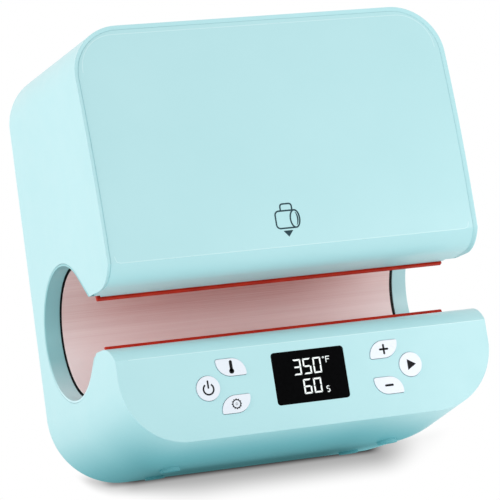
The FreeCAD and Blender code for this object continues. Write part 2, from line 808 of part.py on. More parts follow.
def shell_holes():
    holes = []
    for x, z in rear_boss_places():
        start = seam_y - boss_length + 2
        holes.append(rod("RearPilot", "y", x, start, z, pilot_radius, boss_length))
    for side in (-1, 1):
        for y, z in PLATE_SCREWS:
            holes.append(rod("SidePilot", "x", mirrored(side, flange_x - 1, 5), y, z, pilot_radius, 5))
    for x, z in BOARD_SCREWS:
        holes.append(rod("PanelPilot", "y", x, panel_y + 4, z, pilot_radius, board_back))
    for x, y in foot_places():
        holes.append(rod("FootRecess", "z", x, y, -1, foot_radius + fit, base_z + foot_sink + fit + 1))
    return holes


def upper_front_cover():
    """The bulging panel with the nose, set between the side walls behind their rim."""
    edge_y = tunnel_y - chord(mat_outer, slot_up) - lip_gap
    front = upper_path(recess, high_z)
    back = upper_path(recess + cover_wall, high_z)
    outline = [(edge_y, front[0][1] - nose_drop)] + front
    outline += [(back[2][0], high_z), back[1][:2] + (bulge_y, bulge_z, 1)]
    outline += [back[0][:2] + (back[1][2], back[1][3], 1), (edge_y, back[0][1] - nose_drop)]
    section = prism("UpperCoverSection", "x", -beyond_x, 2 * beyond_x, outline)
    inside = envelope("CoverOutline", wall + seam, rear_y - wall, rear_round - wall)
    tip_y = flared(tunnel_radius, slot_up, slot_down)[3][0]
    notches = ring_notches("CeilingNotch", tip_y - 1, slot_top_z - wall)
    return cut("UpperFrontCover", common("UpperCoverPlate", inside, section), *notches)


def rear_cover():
    """Rear wall with its rim, screw posts, vents and the openings for inlet and switch."""
    start = seam_y + seam
    room = box("BehindSeam", -beyond_x, start, deep_z, 2 * beyond_x, depth / 2, high_z - deep_z)
    lid = cut("RearLid", common("RearBlock", outer, room), hollow)
    posts = []
    holes = []
    for x, z in rear_boss_places():
        posts.append(rod("RearPost", "y", x, start, z, boss_radius, rear_y - wall / 2 - start))
        holes.append(rod("RearHole", "y", x, start - 1, z, hole_radius, rear_lip + 2))
        deep = rear_y - head_height - 3 * fit
        holes.append(rod("RearSink", "y", x, deep, z, head_radius + 3 * fit, wall + 1))
    vents = []
    for i in range(-6, 7):
        vents.append(rectangle(i * vent_pitch, vent_low + vent_height / 2, vent_width, vent_height))
    openings = [
        rectangle(inlet_x, inlet_z, inlet_width + 2 * fit, inlet_height + 2 * fit),
        rectangle(rocker_x, inlet_z, rocker_width + 2 * fit, rocker_height + 2 * fit),
    ]
    holes.append(prism("RearOpenings", "y", rear_y - 2 * wall, 3 * wall, *(vents + openings)))
    return cut("RearCover", fuse("RearSolid", lid, *posts), *holes)


def rectangle(u, v, width, height):
    left, right = u - width / 2, u + width / 2
    low, high = v - height / 2, v + height / 2
    return [(left, low), (right, low), (right, high), (left, high)]


def collar(r_in, r_out):
    """Outline of a ring that follows the opening in the side wall, open at the slot."""
    down = slot_down + corner_run
    inner = flared(r_in, slot_up, down)
    outer_edge = flared(r_out, slot_up, down)
    back = [outer_edge[3], outer_edge[2][:2], outer_edge[1] + (tunnel_y, tunnel_z, -1), outer_edge[0]]
    return inner + back


def tunnel_ring(side):
    outline = collar(ring_radius, tunnel_radius - 2 * fit)
    length = beyond_x - ring_start
    start = mirrored(side, ring_start, length)
    tube = common("RingTube", prism("RingSection", "x", start, length, outline), outer)
    start = mirrored(side, flange_x, 2)
    flange = sector("RingFlange", start, 2, tunnel_radius - 1, flange_radius, -135, 135)
    return fuse("TunnelRing", tube, flange)


def gasket(side):
    thick = right_gasket_thick if side > 0 else left_gasket_thick
    start = mirrored(side, ring_start - fit - thick, thick)
    radius = flange_radius + 1
    return sector("Gasket", start, thick, gasket_radius, radius, -gasket_front, gasket_front)


# Chassis


def side_plate(side):
    """Steel plate round the tunnel, open to the front, that carries the hinge rods."""
    rear = cross_y - fit
    bite = chord(plate_hole, tunnel_y - plate_front)
    outline = [
        (plate_front, plate_low),
        (rear, plate_low),
        (rear, plate_high),
        (plate_front, plate_high),
        (plate_front, tunnel_z + bite),
        (plate_front, tunnel_z - bite, tunnel_y, tunnel_z, -1),
    ]
    start = mirrored(side, plate_x, plate_thick)
    plate = prism("SidePlate", "x", start, plate_thick, outline)
    start = mirrored(side, plate_x - 1, plate_thick + 2)
    length = plate_thick + 2
    holes = [rod("ScrewHole", "x", start, y, z, hole_radius, length) for y, z in PLATE_SCREWS]
    for rise in (pivot_rise, -pivot_rise):
        holes.append(rod("RodHole", "x", start, pivot_y, tunnel_z + rise, rod_radius + running, length))
    return cut("SidePlateCut", plate, *holes)


def rear_cross_plate():
    half = plate_x + plate_thick - fit
    plate = box("CrossPlate", -half, cross_y, cross_low, 2 * half, plate_thick, plate_high - 6 - cross_low)
    wire_hole = rod("WireHole", "y", heater_wire_x, cross_y - 1, tunnel_z, 4, plate_thick + 2)
    width, height = gear_thick + 4, 2 * pivot_rise + jaw_teeth * gear_module + 4
    window = rectangle(jaw_gear_place + gear_thick / 2, tunnel_z, width, height)
    gear_window = prism("GearWindow", "y", cross_y - 1, plate_thick + 2, window)
    return cut("CrossPlateCut", plate, wire_hole, gear_window)


def mat_anchor_rail():
    y = tunnel_y + jaw_radius
    low = tunnel_z - rail_half / 2
    rail = box("Rail", rail_left, y, low, rail_length, rail_thick, rail_half)
    web = box("RailWeb", rail_left, y, tunnel_z - web_thick / 2, rail_length, cross_y - fit - y, web_thick)
    return fuse("MatAnchorRail", rail, web)


def hinge_rod(rise):
    half = plate_x + plate_thick - fit
    return rod("HingeRod", "x", -half, pivot_y, tunnel_z + rise, rod_radius, 2 * half)


# Jaws


def between(side, start, stop):
    """Angles on the upper or the lower half, in rising order."""
    return (start, stop) if side > 0 else (-stop, -start)


def jaw_shell(side):
    angles = between(side, jaw_rear, jaw_front)
    shell = sector("JawShell", -jaw_half, 2 * jaw_half, jaw_radius, jaw_outer, *angles)
    pieces = [shell]
    bores = []
    rise = tunnel_z + side * pivot_rise
    for place_x in (-rib_place, sized(0), rib_place):
        start = place_x - rib_thick / 2
        angles = between(side, rib_rear, rib_front)
        pieces.append(sector("JawRib", start, rib_thick, jaw_outer - 0.2, rib_radius, *angles))
        pieces.append(rod("JawBush", "x", start, pivot_y, rise, bush_radius, rib_thick))
    bore = rod("JawBore", "x", -jaw_half, pivot_y, rise, rod_radius + running, 2 * jaw_half)
    return cut("JawShellCut", fuse("JawSolid", *pieces), bore)


def jaw_insulation(side):
    """Two felt pads between the ribs."""
    length = rib_place - rib_thick - 2
    angles = between(side, jaw_rear + 2, rib_front + 16)
    pads = []
    for start in (rib_thick - 1, -(rib_thick - 1 + length)):
        pads.append(sector("Felt", start, length, jaw_outer + 2 * fit, jaw_outer + felt_thick, *angles))
    return group("JawInsulation", *pads)


def jaw_sensor(side, radius, length):
    """A small round part that lies on the jaw shell, just past its top or bottom."""
    away = jaw_outer + radius + 3 * fit
    y = tunnel_y + away * cosine(sized(100))
    z = tunnel_z + side * away * sine(sized(100))
    return rod("JawSensor", "x", 30, y, z, radius, length)


def upper_lip_strip():
    start = -upper_lip_half - sleeve_shift
    return sector("UpperLip", start, 2 * upper_lip_half, liner_radius - fit, mat_outer, lip_start, lip_up)


def lower_lip_strip():
    """Stands on the lower end of the heater mat and leans back."""
    top = tunnel_z - lip_top
    feet = []
    for radius in (mat_outer, liner_radius - fit):
        feet.append((tunnel_y + radius * cosine(lip_start), tunnel_z - radius * sine(lip_start)))
    front, back = feet
    outline = [front, back, (back[0] + lip_lean, top), (front[0] + lip_lean, top)]
    return prism("LowerLip", "x", -lower_lip_half - sleeve_shift, 2 * lower_lip_half, outline)


def sleeve(name, r_in, r_out):
    """One of the two flexible layers that line the jaws, open at the slot."""
    return sector(name, -liner_half - sleeve_shift, 2 * liner_half, r_in, r_out, -mat_front, mat_front)


# Gears


def involute(angle):
    return math.tan(angle) - angle


def tooth_points(teeth, module, middle, pressure, slack):
    """Outline of one tooth, from its root to its tip and back, round the point (0, 0)."""
    pitch = teeth * module / 2
    base = pitch * math.cos(pressure)
    low, tip = pitch - 1.25 * module, pitch + module
    half = math.pi / (2 * teeth) - slack / (2 * pitch)
    flank = []
    start = max(base, low)
    for step in range(7):
        radius = start + (tip - start) * step / 6
        turn = half + involute(pressure) - involute(math.acos(min(1, base / radius)))
        flank.append((radius, turn))
    flank.insert(0, (low - 0.3, flank[0][1]))
    rising = [(radius, middle - turn) for radius, turn in flank]
    falling = [(radius, middle + turn) for radius, turn in reversed(flank)]
    return [V(0, r * math.cos(a), r * math.sin(a)) for r, a in rising + falling]


def toothed(name, teeth, middles, core, x, y, z):
    """Gear or gear sector: the core outline with teeth at the given angles, bored for its shaft."""
    module = gear_module.value
    pressure = math.radians(pressure_angle.value)
    solid = core
    for middle in middles:
        points = tooth_points(teeth.value, module, math.radians(middle), pressure, backlash.value)
        wire = Part.makePolygon(points + points[:1])
        solid = solid.fuse(Part.Face(wire).extrude(V(gear_thick.value, 0, 0)))
    obj = doc.addObject("Part::Feature", name)
    obj.Shape = solid.removeSplitter()
    return place(obj, x, y, z)


def round_core(radius, start, length):
    return Part.makeCylinder(radius, length, V(start, 0, 0), V(1, 0, 0))


def pinned(name, gear, x, y, z):
    bore = rod(name + "Bore", "x", x - 10, y, z, rod_radius + running, gear_thick + 20)
    return cut(name, gear, bore)


def root_circle(teeth):
    return (teeth.value / 2 - 1.25) * gear_module.value


def jaw_gear(side):
    """Teeth towards the other jaw's gear, and a hub towards the rib."""
    y, z = pivot_y, tunnel_z + side * pivot_rise
    step = 360 / jaw_teeth.value
    if side > 0:
        middles = [-90 + i * step for i in (-2, -1, 0, 1, 2)]
    else:
        middles = [90 + (i + 0.5) * step for i in (-3, -2, -1, 0, 1, 2)]
    gap = (jaw_gear_place - rib_place - rib_thick / 2 - fit).value
    core = round_core(root_circle(jaw_teeth), 0, gear_thick.value)
    core = core.fuse(round_core(bush_radius.value, -gap, gap + 1))
    gear = toothed("JawTeeth", jaw_teeth, middles, core, jaw_gear_place, y, z)
    return pinned("JawGear", gear, jaw_gear_place, y, z)


def drive_sector_gear():
    """Arm on the upper jaw whose rim the pinion drives."""
    y, z = pivot_y, tunnel_z + pivot_rise
    step = 360 / drive_teeth.value
    middles = [drive_angle.value + (i + 0.5) * step for i in (-4, -3, -2, -1, 0, 1)]
    edge = root_circle(drive_teeth)
    low, high = math.radians(min(middles) - step / 2), math.radians(max(middles) + step / 2)
    corners = [V(0, 0, 0), V(0, edge * math.cos(low), edge * math.sin(low))]
    top = V(0, edge * math.cos((low + high) / 2), edge * math.sin((low + high) / 2))
    last = V(0, edge * math.cos(high), edge * math.sin(high))
    rim = Part.Arc(corners[1], top, last).toShape()
    wire = Part.Wire([Part.makeLine(corners[0], corners[1]), rim, Part.makeLine(last, corners[0])])
    core = Part.Face(wire).extrude(V(gear_thick.value, 0, 0))
    reach = (rib_place - rib_thick / 2 - fit - drive_place).value
    core = core.fuse(round_core(bush_radius.value, 0, reach))
    gear = toothed("DriveTeeth", drive_teeth, middles, core, drive_place, y, z)
    return pinned("DriveGear", gear, drive_place, y, z)


def drive_pinion():
    """Pinion with all its teeth, on the motor's shaft."""
    step = 360 / pinion_teeth.value
    middles = [drive_angle.value + 180 + i * step for i in range(int(pinion_teeth.value))]
    core = round_core(root_circle(pinion_teeth), 0, gear_thick.value)
    gear = toothed("PinionTeeth", pinion_teeth, middles, core, drive_place, motor_y, motor_z)
    length = drive_place + gear_thick + 1 - shaft_start
    shaft = rod("PinionShaft", "x", shaft_start, motor_y, motor_z, shaft_radius, length)
    return fuse("DrivePinion", gear, shaft)


# Drive


def gear_motor():
    start = bracket_place - fit - motor_length
    can = rod("MotorCan", "x", start, motor_y, motor_z, motor_radius - 1, motor_length - 22)
    gearbox = rod("Gearbox", "x", start + motor_length - 22, motor_y, motor_z, motor_radius, 22)
    bore = rod("MotorBore", "x", shaft_start - 1, motor_y, motor_z, shaft_radius + running, motor_length)
    return cut("GearMotor", fuse("MotorSolid", can, gearbox), bore)


def motor_bracket():
    """Plate that carries the motor, with a flange against the rear cross plate."""
    front = motor_y - 8.5
    low = motor_z - 10.5
    high = plate_high - 6
    rear = cross_y - fit
    plate = box("BracketPlate", bracket_place, front, low, bracket_thick, rear - front, high - low)
    flange = box("BracketFlange", bracket_place - 12, rear - 2, low, 13, 2, high - low)
    hole = rod("BracketHole", "x", bracket_place - 1, motor_y, motor_z, shaft_radius + 3 * fit, 4)
    return cut("MotorBracket", fuse("BracketSolid", plate, flange), hole)


def limit_switches():
    x = bracket_place + bracket_thick + fit
    y = motor_y + 6.5
    switches = [box("LimitSwitch", x, y, motor_z + rise, 6, 11, 6) for rise in (-9, 6)]
    return group("LimitSwitches", *switches)


# Electronics


def heat_shield():
    z = plate_high + fit
    return box("HeatShield", 0.5 - ring_start, -60, z, 2 * ring_start - 1, 139, shield_thick)


standoff_z = plate_high + shield_thick + 2 * fit
main_z = standoff_z + standoff + fit
part_z = main_z + board_thick + fit
MAIN_SCREWS = [
    (main_x + 5, main_y + 5),
    (main_x + main_width - 5, main_y + 5),
    (main_x + 5, main_y + main_depth - 5),
    (main_x + main_width - 5, main_y + main_depth - 5),
]


def board_standoffs():
    posts = []
    for x, y in MAIN_SCREWS:
        post = rod("Standoff", "z", x, y, standoff_z, post_radius, standoff)
        pilot = rod("StandoffPilot", "z", x, y, standoff_z + 3, pilot_radius, standoff)
        posts.append(cut("StandoffCut", post, pilot))
    return group("BoardStandoffs", *posts)


def power_board():
    board = box("MainBoard", main_x, main_y, main_z, main_width, main_depth, board_thick)
    holes = [rod("MainHole", "z", x, y, main_z - 1, hole_radius, board_thick + 2) for x, y in MAIN_SCREWS]
    return cut("PowerBoard", board, *holes)


def transformer():
    x, y = main_x + 16, main_y + 20
    core = box("TransformerCore", x, y, part_z + 3, 38, 32, 24)
    coil = box("TransformerCoil", x + 7, y - 5, part_z, 24, 42, 27)
    return fuse("Transformer", core, coil)


def capacitors():
    spots = [(70, 18, 6, 24), (84, 18, 6, 24), (70, 33, 4, 14), (80, 33, 4, 14), (60, 80, 4, 12)]
    cans = [rod("Can", "z", main_x + x, main_y + y, part_z, r, high) for x, y, r, high in spots]
    return group("Capacitors", *cans)


def power_relays():
    relays = [box("Relay", main_x + 102, main_y + y, part_z, 29, 13, 16) for y in (40, 58)]
    return group("PowerRelays", *relays)


def heat_sink():
    """Finned block that cools the heater's switch."""
    x, y = main_x + 66, main_y + 46
    pieces = [box("SinkBase", x, y, part_z, 3, 26, 30)]
    for i in range(5):
        pieces.append(box("SinkFin", x + 2, y + 6 * i, part_z, 14, 2, 30))
    return fuse("HeatSink", *pieces)


def control_board():
    y = panel_y + board_back
    board = box("ControlBlank", -board_half, y, board_low, 2 * board_half, board_thick, board_high - board_low)
    length = board_thick + 2
    holes = [rod("BoardHole", "y", x, y - 1, z, hole_radius, length) for x, z in BOARD_SCREWS]
    return cut("ControlBoard", board, *holes)


def display_window():
    return prism("DisplayWindow", "y", panel_y + 2 * fit, window_thick, window_outline(sized(0)))


def display_module():
    y = panel_y + window_thick + 3 * fit
    length = board_back - window_thick - 4 * fit
    low = display_z - display_height / 2
    return box("DisplayModule", -display_width / 2, y, low, display_width, length, display_height)


def tact_switches():
    y = panel_y + board_back - fit - switch_depth
    half = switch_side / 2
    switches = []
    for name in KEYS:
        x, z = key_centre(name)
        switches.append(box("TactSwitch", x - half, y, z - half, switch_side, switch_depth, switch_side))
    return group("TactSwitches", *switches)


def key(name):
    """Cap in its hole, flange behind the panel and a stem towards the switch."""
    x, z = key_centre(name)
    back = panel_y + wall + 3 * fit
    cap_y = panel_y - key_proud
    cap = prism("KeyCap", "y", cap_y, back - cap_y + 0.5, key_outline(name, sized(0)))
    flange = prism("KeyFlange", "y", back, sized(1), key_outline(name, key_flange))
    stem_end = panel_y + board_back - switch_depth - key_travel - 5 * fit
    stem = rod("KeyStem", "y", x, back + 0.5, z, stem_radius, stem_end - back - 0.5)
    return fuse("Key", cap, flange, stem)


def ribbon_cable():
    """Flat cable from the control board under the tunnel and up behind it to the power board."""
    t = ribbon_thick
    plug = board_low + 10
    floor = base_z + underside_rise + t / 2
    start, turn = panel_y + board_back + board_thick + fit, panel_y + board_back + 10
    rise = cross_y + plate_thick + 0.6
    top = part_z + 6
    end_y = main_y + main_depth - 4
    outline = [
        (start, plug),
        (turn - t, plug),
        (turn - t, floor),
        (rise + t, floor),
        (rise + t, top),
        (end_y, top),
        (end_y, part_z),
        (end_y + t, part_z),
        (end_y + t, top - t),
        (rise, top - t),
        (rise, floor + t),
        (turn, floor + t),
        (turn, plug + t),
        (start, plug + t),
    ]
    return prism("RibbonCable", "x", ribbon_x, ribbon_width, outline)


def wire(name, *corners):
    """Round wire through corner points, along the axes."""
    pieces = []
    for a, b in zip(corners, corners[1:]):
        for i, axis in enumerate("xyz"):
            first, second = sized(a[i]), sized(b[i])
            if abs(first.value - second.value) < 1e-6:
                continue
            low, high = (first, second) if first.value < second.value else (second, first)
            start = list(a)
            start[i] = low - 1
            pieces.append(rod(name + "Run", axis, *start, wire_radius, high - low + 2))
    return fuse(name, *pieces)


def internal_wires():
    """Mains wire from switch to power board, and the heater's wire from mat to power board."""
    rise = cross_y + plate_thick + 1
    end_y = main_y + main_depth - 6
    top = part_z + 7
    heater = wire(
        "HeaterWire",
        (heater_wire_x, tunnel_y + mat_outer + 1.4, tunnel_z),
        (heater_wire_x, rise, tunnel_z),
        (heater_wire_x, rise, top),
        (heater_wire_x + 2 * plug_step, rise, top),
        (heater_wire_x + 2 * plug_step, end_y, top),
        (heater_wire_x + 2 * plug_step, end_y, part_z + 1.2),
    )
    mains_y = rear_y - rocker_depth - 2
    mains = wire(
        "MainsWire",
        (rocker_x - 3, mains_y, inlet_z),
        (mains_wire_x, mains_y, inlet_z),
        (mains_wire_x, rise, inlet_z),
        (mains_wire_x, rise, top),
        (mains_wire_x - plug_step, rise, top),
        (mains_wire_x - plug_step, end_y, top),
        (mains_wire_x - plug_step, end_y, part_z + 1.2),
    )
    link_end = inlet_x - inlet_width / 2 - 1.2
    link = wire("InletWire", (rocker_x + 4, mains_y, inlet_z), (link_end, mains_y, inlet_z))
    return group("InternalWires", heater, mains, link)


# Rear parts and fasteners


def socketed(name, x, width, height, deep, pocket_margin, pocket_deep):
    """Snap-in rear part: body through the cover, flange inside it and a pocket from behind."""
    half_w, half_h = width / 2, height / 2
    body = box(name + "Body", x - half_w, rear_y - deep, inlet_z - half_h, width, deep, height)
    flange_y = rear_y - wall - fit - 2
    flange = box(name + "Flange", x - half_w - 2, flange_y, inlet_z - half_h - 2, width + 4, 2, height + 4)
    inner_w, inner_h = width - 2 * pocket_margin, height - 2 * pocket_margin
    low = inlet_z - inner_h / 2
    start = rear_y - pocket_deep
    pocket = box(name + "Pocket", x - inner_w / 2, start, low, inner_w, pocket_deep + 1, inner_h)
    return cut(name, fuse(name + "Solid", body, flange), pocket)


def power_inlet():
    return socketed("PowerInlet", inlet_x, inlet_width, inlet_height, inlet_depth, 2, 16)


def rocker_switch_body():
    body = socketed("RockerBody", rocker_x, rocker_width, rocker_height, rocker_depth, 1.8, 13)
    half = rocker_width / 2 + 1
    pivot = rear_y - rocker_pivot
    bore = rod("RockerBore", "x", rocker_x - half, pivot, inlet_z, trunnion_radius + running, 2 * half)
    return cut("RockerBodyBored", body, bore)


def inlet_pins():
    pins = [
        box("Pin", inlet_x + dx - 1, rear_y - 16 + fit, inlet_z + dz - 2, 2, 13, 4)
        for dx, dz in ((-7, -2), (0, 2), (7, -2))
    ]
    return group("InletPins", *pins)


def turned(dy, dz, angle, y, z):
    return (y + dy * cosine(angle) - dz * sine(angle), z + dy * sine(angle) + dz * cosine(angle))


def rocker():
    """Rocker with two faces in a V, lying on one of its two sides."""
    half = rocker_height / 2 - 3
    valley = 6.3
    ridge = valley + half * math.tan(math.radians(rocker_tilt.value))
    corners = [(-2.5, -3.5), (valley - 2.5, -half), (ridge, -half), (valley, 0)]
    corners += [(ridge, half), (valley - 2.5, half), (-2.5, 3.5)]
    pivot = rear_y - rocker_pivot
    outline = [turned(sized(dy), sized(dz), rocker_tilt, pivot, inlet_z) for dy, dz in corners]
    width = rocker_width - 4.6
    tab = prism("RockerTab", "x", rocker_x - width / 2, width, outline)
    length = rocker_width - 1.6
    pin = rod("RockerPin", "x", rocker_x - length / 2, pivot, inlet_z, trunnion_radius, length)
    return fuse("Rocker", tab, pin)


def rubber_feet():
    height = base_z + foot_sink
    return group("RubberFeet", *[rod("Foot", "z", x, y, 0, foot_radius, height) for x, y in foot_places()])


def screw(axis, x, y, z, length, back):
    """Round-headed screw whose shank points along the axis, or against it when back is true."""
    way = list("xyz").index(axis)
    head_at = [x, y, z]
    shank_at = [x, y, z]
    if back:
        shank_at[way] = shank_at[way] - length
    else:
        head_at[way] = head_at[way] - head_height
    head = rod("ScrewHead", axis, *head_at, head_radius, head_height)
    shank_at[way] = shank_at[way] - (0 if back else 0.5)
    shank = rod("ScrewShank", axis, *shank_at, screw_radius, length + 0.5)
    return fuse("Screw", head, shank)


def chassis_screws():
    screws = []
    for side in (-1, 1):
        for y, z in PLATE_SCREWS:
            screws.append(screw("x", side * (plate_x - fit), y, z, sized(5), side < 0))
    return group("ChassisScrews", *screws)


def rear_cover_screws():
    y = rear_y - head_height - 2 * fit
    return group("RearScrews", *[screw("y", x, y, z, sized(16), True) for x, z in rear_boss_places()])


def board_screws():
    top = main_z + board_thick + fit
    screws = [screw("z", x, y, top, sized(6), True) for x, y in MAIN_SCREWS]
    back = panel_y + board_back + board_thick + fit
    screws += [screw("y", x, back, z, sized(6), True) for x, z in BOARD_SCREWS]
    return group("BoardScrews", *screws)


node("housing_shell", housing_shell())
node("upper_front_cover", upper_front_cover())
node("rear_cover", rear_cover())
for side, name in ((-1, "left"), (1, "right")):
    node(name + "_tunnel_ring", tunnel_ring(side))
    node(name + "_gasket", gasket(side))
    node(name + "_side_plate", side_plate(side))
node("rear_cross_plate", rear_cross_plate())
node("mat_anchor_rail", mat_anchor_rail())
for side, name in ((1, "upper"), (-1, "lower")):
    node(name + "_hinge_rod", hinge_rod(side * pivot_rise))
    node(name + "_jaw_shell", jaw_shell(side))
    node(name + "_jaw_insulation", jaw_insulation(side))
    node(name + "_lip_strip", upper_lip_strip() if side > 0 else lower_lip_strip())
    node(name + "_sector_gear", jaw_gear(side))
node("thermal_fuse", jaw_sensor(1, sized(2.5), 22))
node("temperature_sensor", jaw_sensor(-1, sized(2), 14))
node("liner_sheet", sleeve("Liner", liner_radius, liner_radius + liner_thick - running))
node("heater_mat", sleeve("Mat", mat_radius, mat_outer))
node("drive_sector_gear", drive_sector_gear())
node("drive_pinion", drive_pinion())
node("gear_motor", gear_motor())
node("motor_bracket", motor_bracket())
node("limit_switches", limit_switches())
node("heat_shield", heat_shield())
node("board_standoffs", board_standoffs())
node("power_board", power_board())
node("transformer", transformer())
node("capacitors", capacitors())
node("power_relays", power_relays())
node("heat_sink", heat_sink())
node("control_board", control_board())
node("display_window", display_window())
node("display_module", display_module())
node("tact_switches", tact_switches())
for name in KEYS:
    node(name, key(name))
node("ribbon_cable", ribbon_cable())
node("internal_wires", internal_wires())
node("power_inlet", power_inlet())
node("inlet_pins", inlet_pins())
node("rocker_switch_body", rocker_switch_body())
node("rocker", rocker())
node("rubber_feet", rubber_feet())
node("chassis_screws", chassis_screws())
node("rear_cover_screws", rear_cover_screws())
node("board_screws", board_screws())

doc.recompute()
for obj in doc.Objects:
    if "Invalid" in obj.State or "Error" in obj.State:
        raise RuntimeError("%s did not build: %s" % (obj.Label, obj.State))
for obj in NODES:
    shape = obj.Shape
    if shape.isNull() or not shape.isValid() or not shape.Solids:
        raise RuntimeError("%s is not a valid solid" % obj.Label)
for obj in NODES:
    obj.Shape.exportStep("parts/%s.step" % obj.Label)
print("%d nodes, %d sizes" % (len(NODES), len(ROWS)))
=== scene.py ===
import math

import bmesh
import bpy
from mathutils import Matrix, Vector


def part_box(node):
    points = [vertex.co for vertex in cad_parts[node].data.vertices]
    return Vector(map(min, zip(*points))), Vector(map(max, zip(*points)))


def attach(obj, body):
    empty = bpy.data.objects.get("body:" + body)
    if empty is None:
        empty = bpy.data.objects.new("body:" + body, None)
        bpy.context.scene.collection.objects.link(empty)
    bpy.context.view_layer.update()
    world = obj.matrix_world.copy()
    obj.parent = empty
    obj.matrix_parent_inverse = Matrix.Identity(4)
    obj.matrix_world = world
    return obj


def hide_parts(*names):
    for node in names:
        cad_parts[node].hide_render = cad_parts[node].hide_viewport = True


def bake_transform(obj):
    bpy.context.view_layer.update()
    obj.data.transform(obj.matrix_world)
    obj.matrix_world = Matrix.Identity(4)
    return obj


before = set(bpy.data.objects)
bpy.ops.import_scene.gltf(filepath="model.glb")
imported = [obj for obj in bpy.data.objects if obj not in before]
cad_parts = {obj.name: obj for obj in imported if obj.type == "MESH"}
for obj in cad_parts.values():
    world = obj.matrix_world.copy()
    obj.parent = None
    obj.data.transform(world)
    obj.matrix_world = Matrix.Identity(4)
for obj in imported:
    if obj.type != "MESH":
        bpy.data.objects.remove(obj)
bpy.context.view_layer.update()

MM = 0.001


def box_mm(name):
    """Low and high corner of a node's box, in millimetres."""
    return [Vector(corner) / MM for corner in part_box(name)]


# Faces that signs are laid on, in millimetres: depths of the keys, the display's window and the
# control panel, and the arc of the upper front cover with its middle and its radius
KEY_FACE = box_mm("key_plus")[0].y
WINDOW_FACE = box_mm("display_window")[0].y
PANEL_Y = -73.7
BULGE_Y, BULGE_Z, BULGE_R = 962.0, 158.8, 1048.8

# The sleeve's layers round the tunnel's axis, in millimetres: the liner's outer radius, its
# thickness and its gap to the heater mat give each layer's inner and outer radius. Half of the
# layers' arc is in degrees. The jaws' pivots are above and below the axis by PIVOT_RISE.
LINER_OUT, SHEET, LAYER_GAP = 47.75, 0.45, 0.07
LINER_LOW, LINER_HIGH = box_mm("liner_sheet")
TUNNEL_Y, TUNNEL_Z = LINER_HIGH.y - LINER_OUT, (LINER_LOW.z + LINER_HIGH.z) / 2
LINER_R, MAT_R = LINER_OUT - SHEET, LINER_OUT + LAYER_GAP
MAT_OUT = box_mm("heater_mat")[1].y - TUNNEL_Y
HALF_ARC, PIVOT_RISE = 150.1, 9.0


# Shader helpers


def linear(r, g, b):
    """Linear colour from an sRGB colour written as 0 to 255."""
    def one(v):
        v /= 255
        return v / 12.92 if v <= 0.04045 else ((v + 0.055) / 1.055) ** 2.4
    return (one(r), one(g), one(b))


class Shader:
    """A material whose colour, roughness and bump come from procedural nodes."""

    def __init__(self, name, rough=0.4, metal=0.0, coat=0.0, coat_rough=0.1, sheen=0.0,
                 specular=0.5):
        self.material = bpy.data.materials.new(name)
        self.material.use_nodes = True
        self.tree = self.material.node_tree
        self.nodes = self.tree.nodes
        self.principled = self.nodes["Principled BSDF"]
        inputs = self.principled.inputs
        inputs["Roughness"].default_value = rough
        inputs["Metallic"].default_value = metal
        inputs["Coat Weight"].default_value = coat
        inputs["Coat Roughness"].default_value = coat_rough
        inputs["Sheen Weight"].default_value = sheen
        inputs["Specular IOR Level"].default_value = specular
        self.where = self.nodes.new("ShaderNodeTexCoord").outputs["Object"]

    def link(self, a, b):
        self.tree.links.new(a, b)

    def stretched(self, x, y, z):
        """The object's coordinates at these scales, for streaks along the smallest of them."""
        mapping = self.nodes.new("ShaderNodeMapping")
        mapping.inputs["Scale"].default_value = (x, y, z)
        self.link(self.where, mapping.inputs["Vector"])
        return mapping.outputs["Vector"]

    def noise(self, scale, detail=3.0, rough=0.55, vector=None):
        node = self.nodes.new("ShaderNodeTexNoise")
        node.inputs["Scale"].default_value = scale
        node.inputs["Detail"].default_value = detail
        node.inputs["Roughness"].default_value = rough
        self.link(vector or self.where, node.inputs["Vector"])
        return node.outputs["Fac"]

    def voronoi(self, scale):
        node = self.nodes.new("ShaderNodeTexVoronoi")
        node.inputs["Scale"].default_value = scale
        self.link(self.where, node.inputs["Vector"])
        return node.outputs["Distance"]

    def wave(self, scale, direction="X", distortion=0.0):
        node = self.nodes.new("ShaderNodeTexWave")
        node.bands_direction = direction
        node.inputs["Scale"].default_value = scale
        node.inputs["Distortion"].default_value = distortion
        self.link(self.where, node.inputs["Vector"])
        return node.outputs["Fac"]

    def spread(self, value, low, high, start=0.3, stop=0.7):
        """Goes evenly from low to high while the value goes from start to stop."""
        node = self.nodes.new("ShaderNodeMapRange")
        node.inputs["From Min"].default_value = start
        node.inputs["From Max"].default_value = stop
        node.inputs["To Min"].default_value = low
        node.inputs["To Max"].default_value = high
        self.link(value, node.inputs["Value"])
        return node.outputs["Result"]

    def mix(self, factor, a, b):
        node = self.nodes.new("ShaderNodeMix")
        node.data_type = "RGBA"
        self.link(factor, node.inputs["Factor"])
        for index, colour in ((6, a), (7, b)):
            if isinstance(colour, tuple):
                node.inputs[index].default_value = (*colour, 1.0)
            else:
                self.link(colour, node.inputs[index])
        return node.outputs[2]

    def part(self, axis):
        """One of the object's coordinates, in metres."""
        node = self.nodes.new("ShaderNodeSeparateXYZ")
        self.link(self.where, node.inputs[0])
        return node.outputs[axis]

    def times(self, a, b):
        node = self.nodes.new("ShaderNodeMath")
        node.operation = "MULTIPLY"
        self.link(a, node.inputs[0])
        self.link(b, node.inputs[1])
        return node.outputs[0]

    def colour(self, value):
        self.link(value, self.principled.inputs["Base Color"])

    def roughness(self, value):
        self.link(value, self.principled.inputs["Roughness"])

    def bump(self, value, height, strength=1.0):
        node = self.nodes.new("ShaderNodeBump")
        node.inputs["Strength"].default_value = strength
        node.inputs["Distance"].default_value = height
        self.link(value, node.inputs["Height"])
        self.link(node.outputs["Normal"], self.principled.inputs["Normal"])


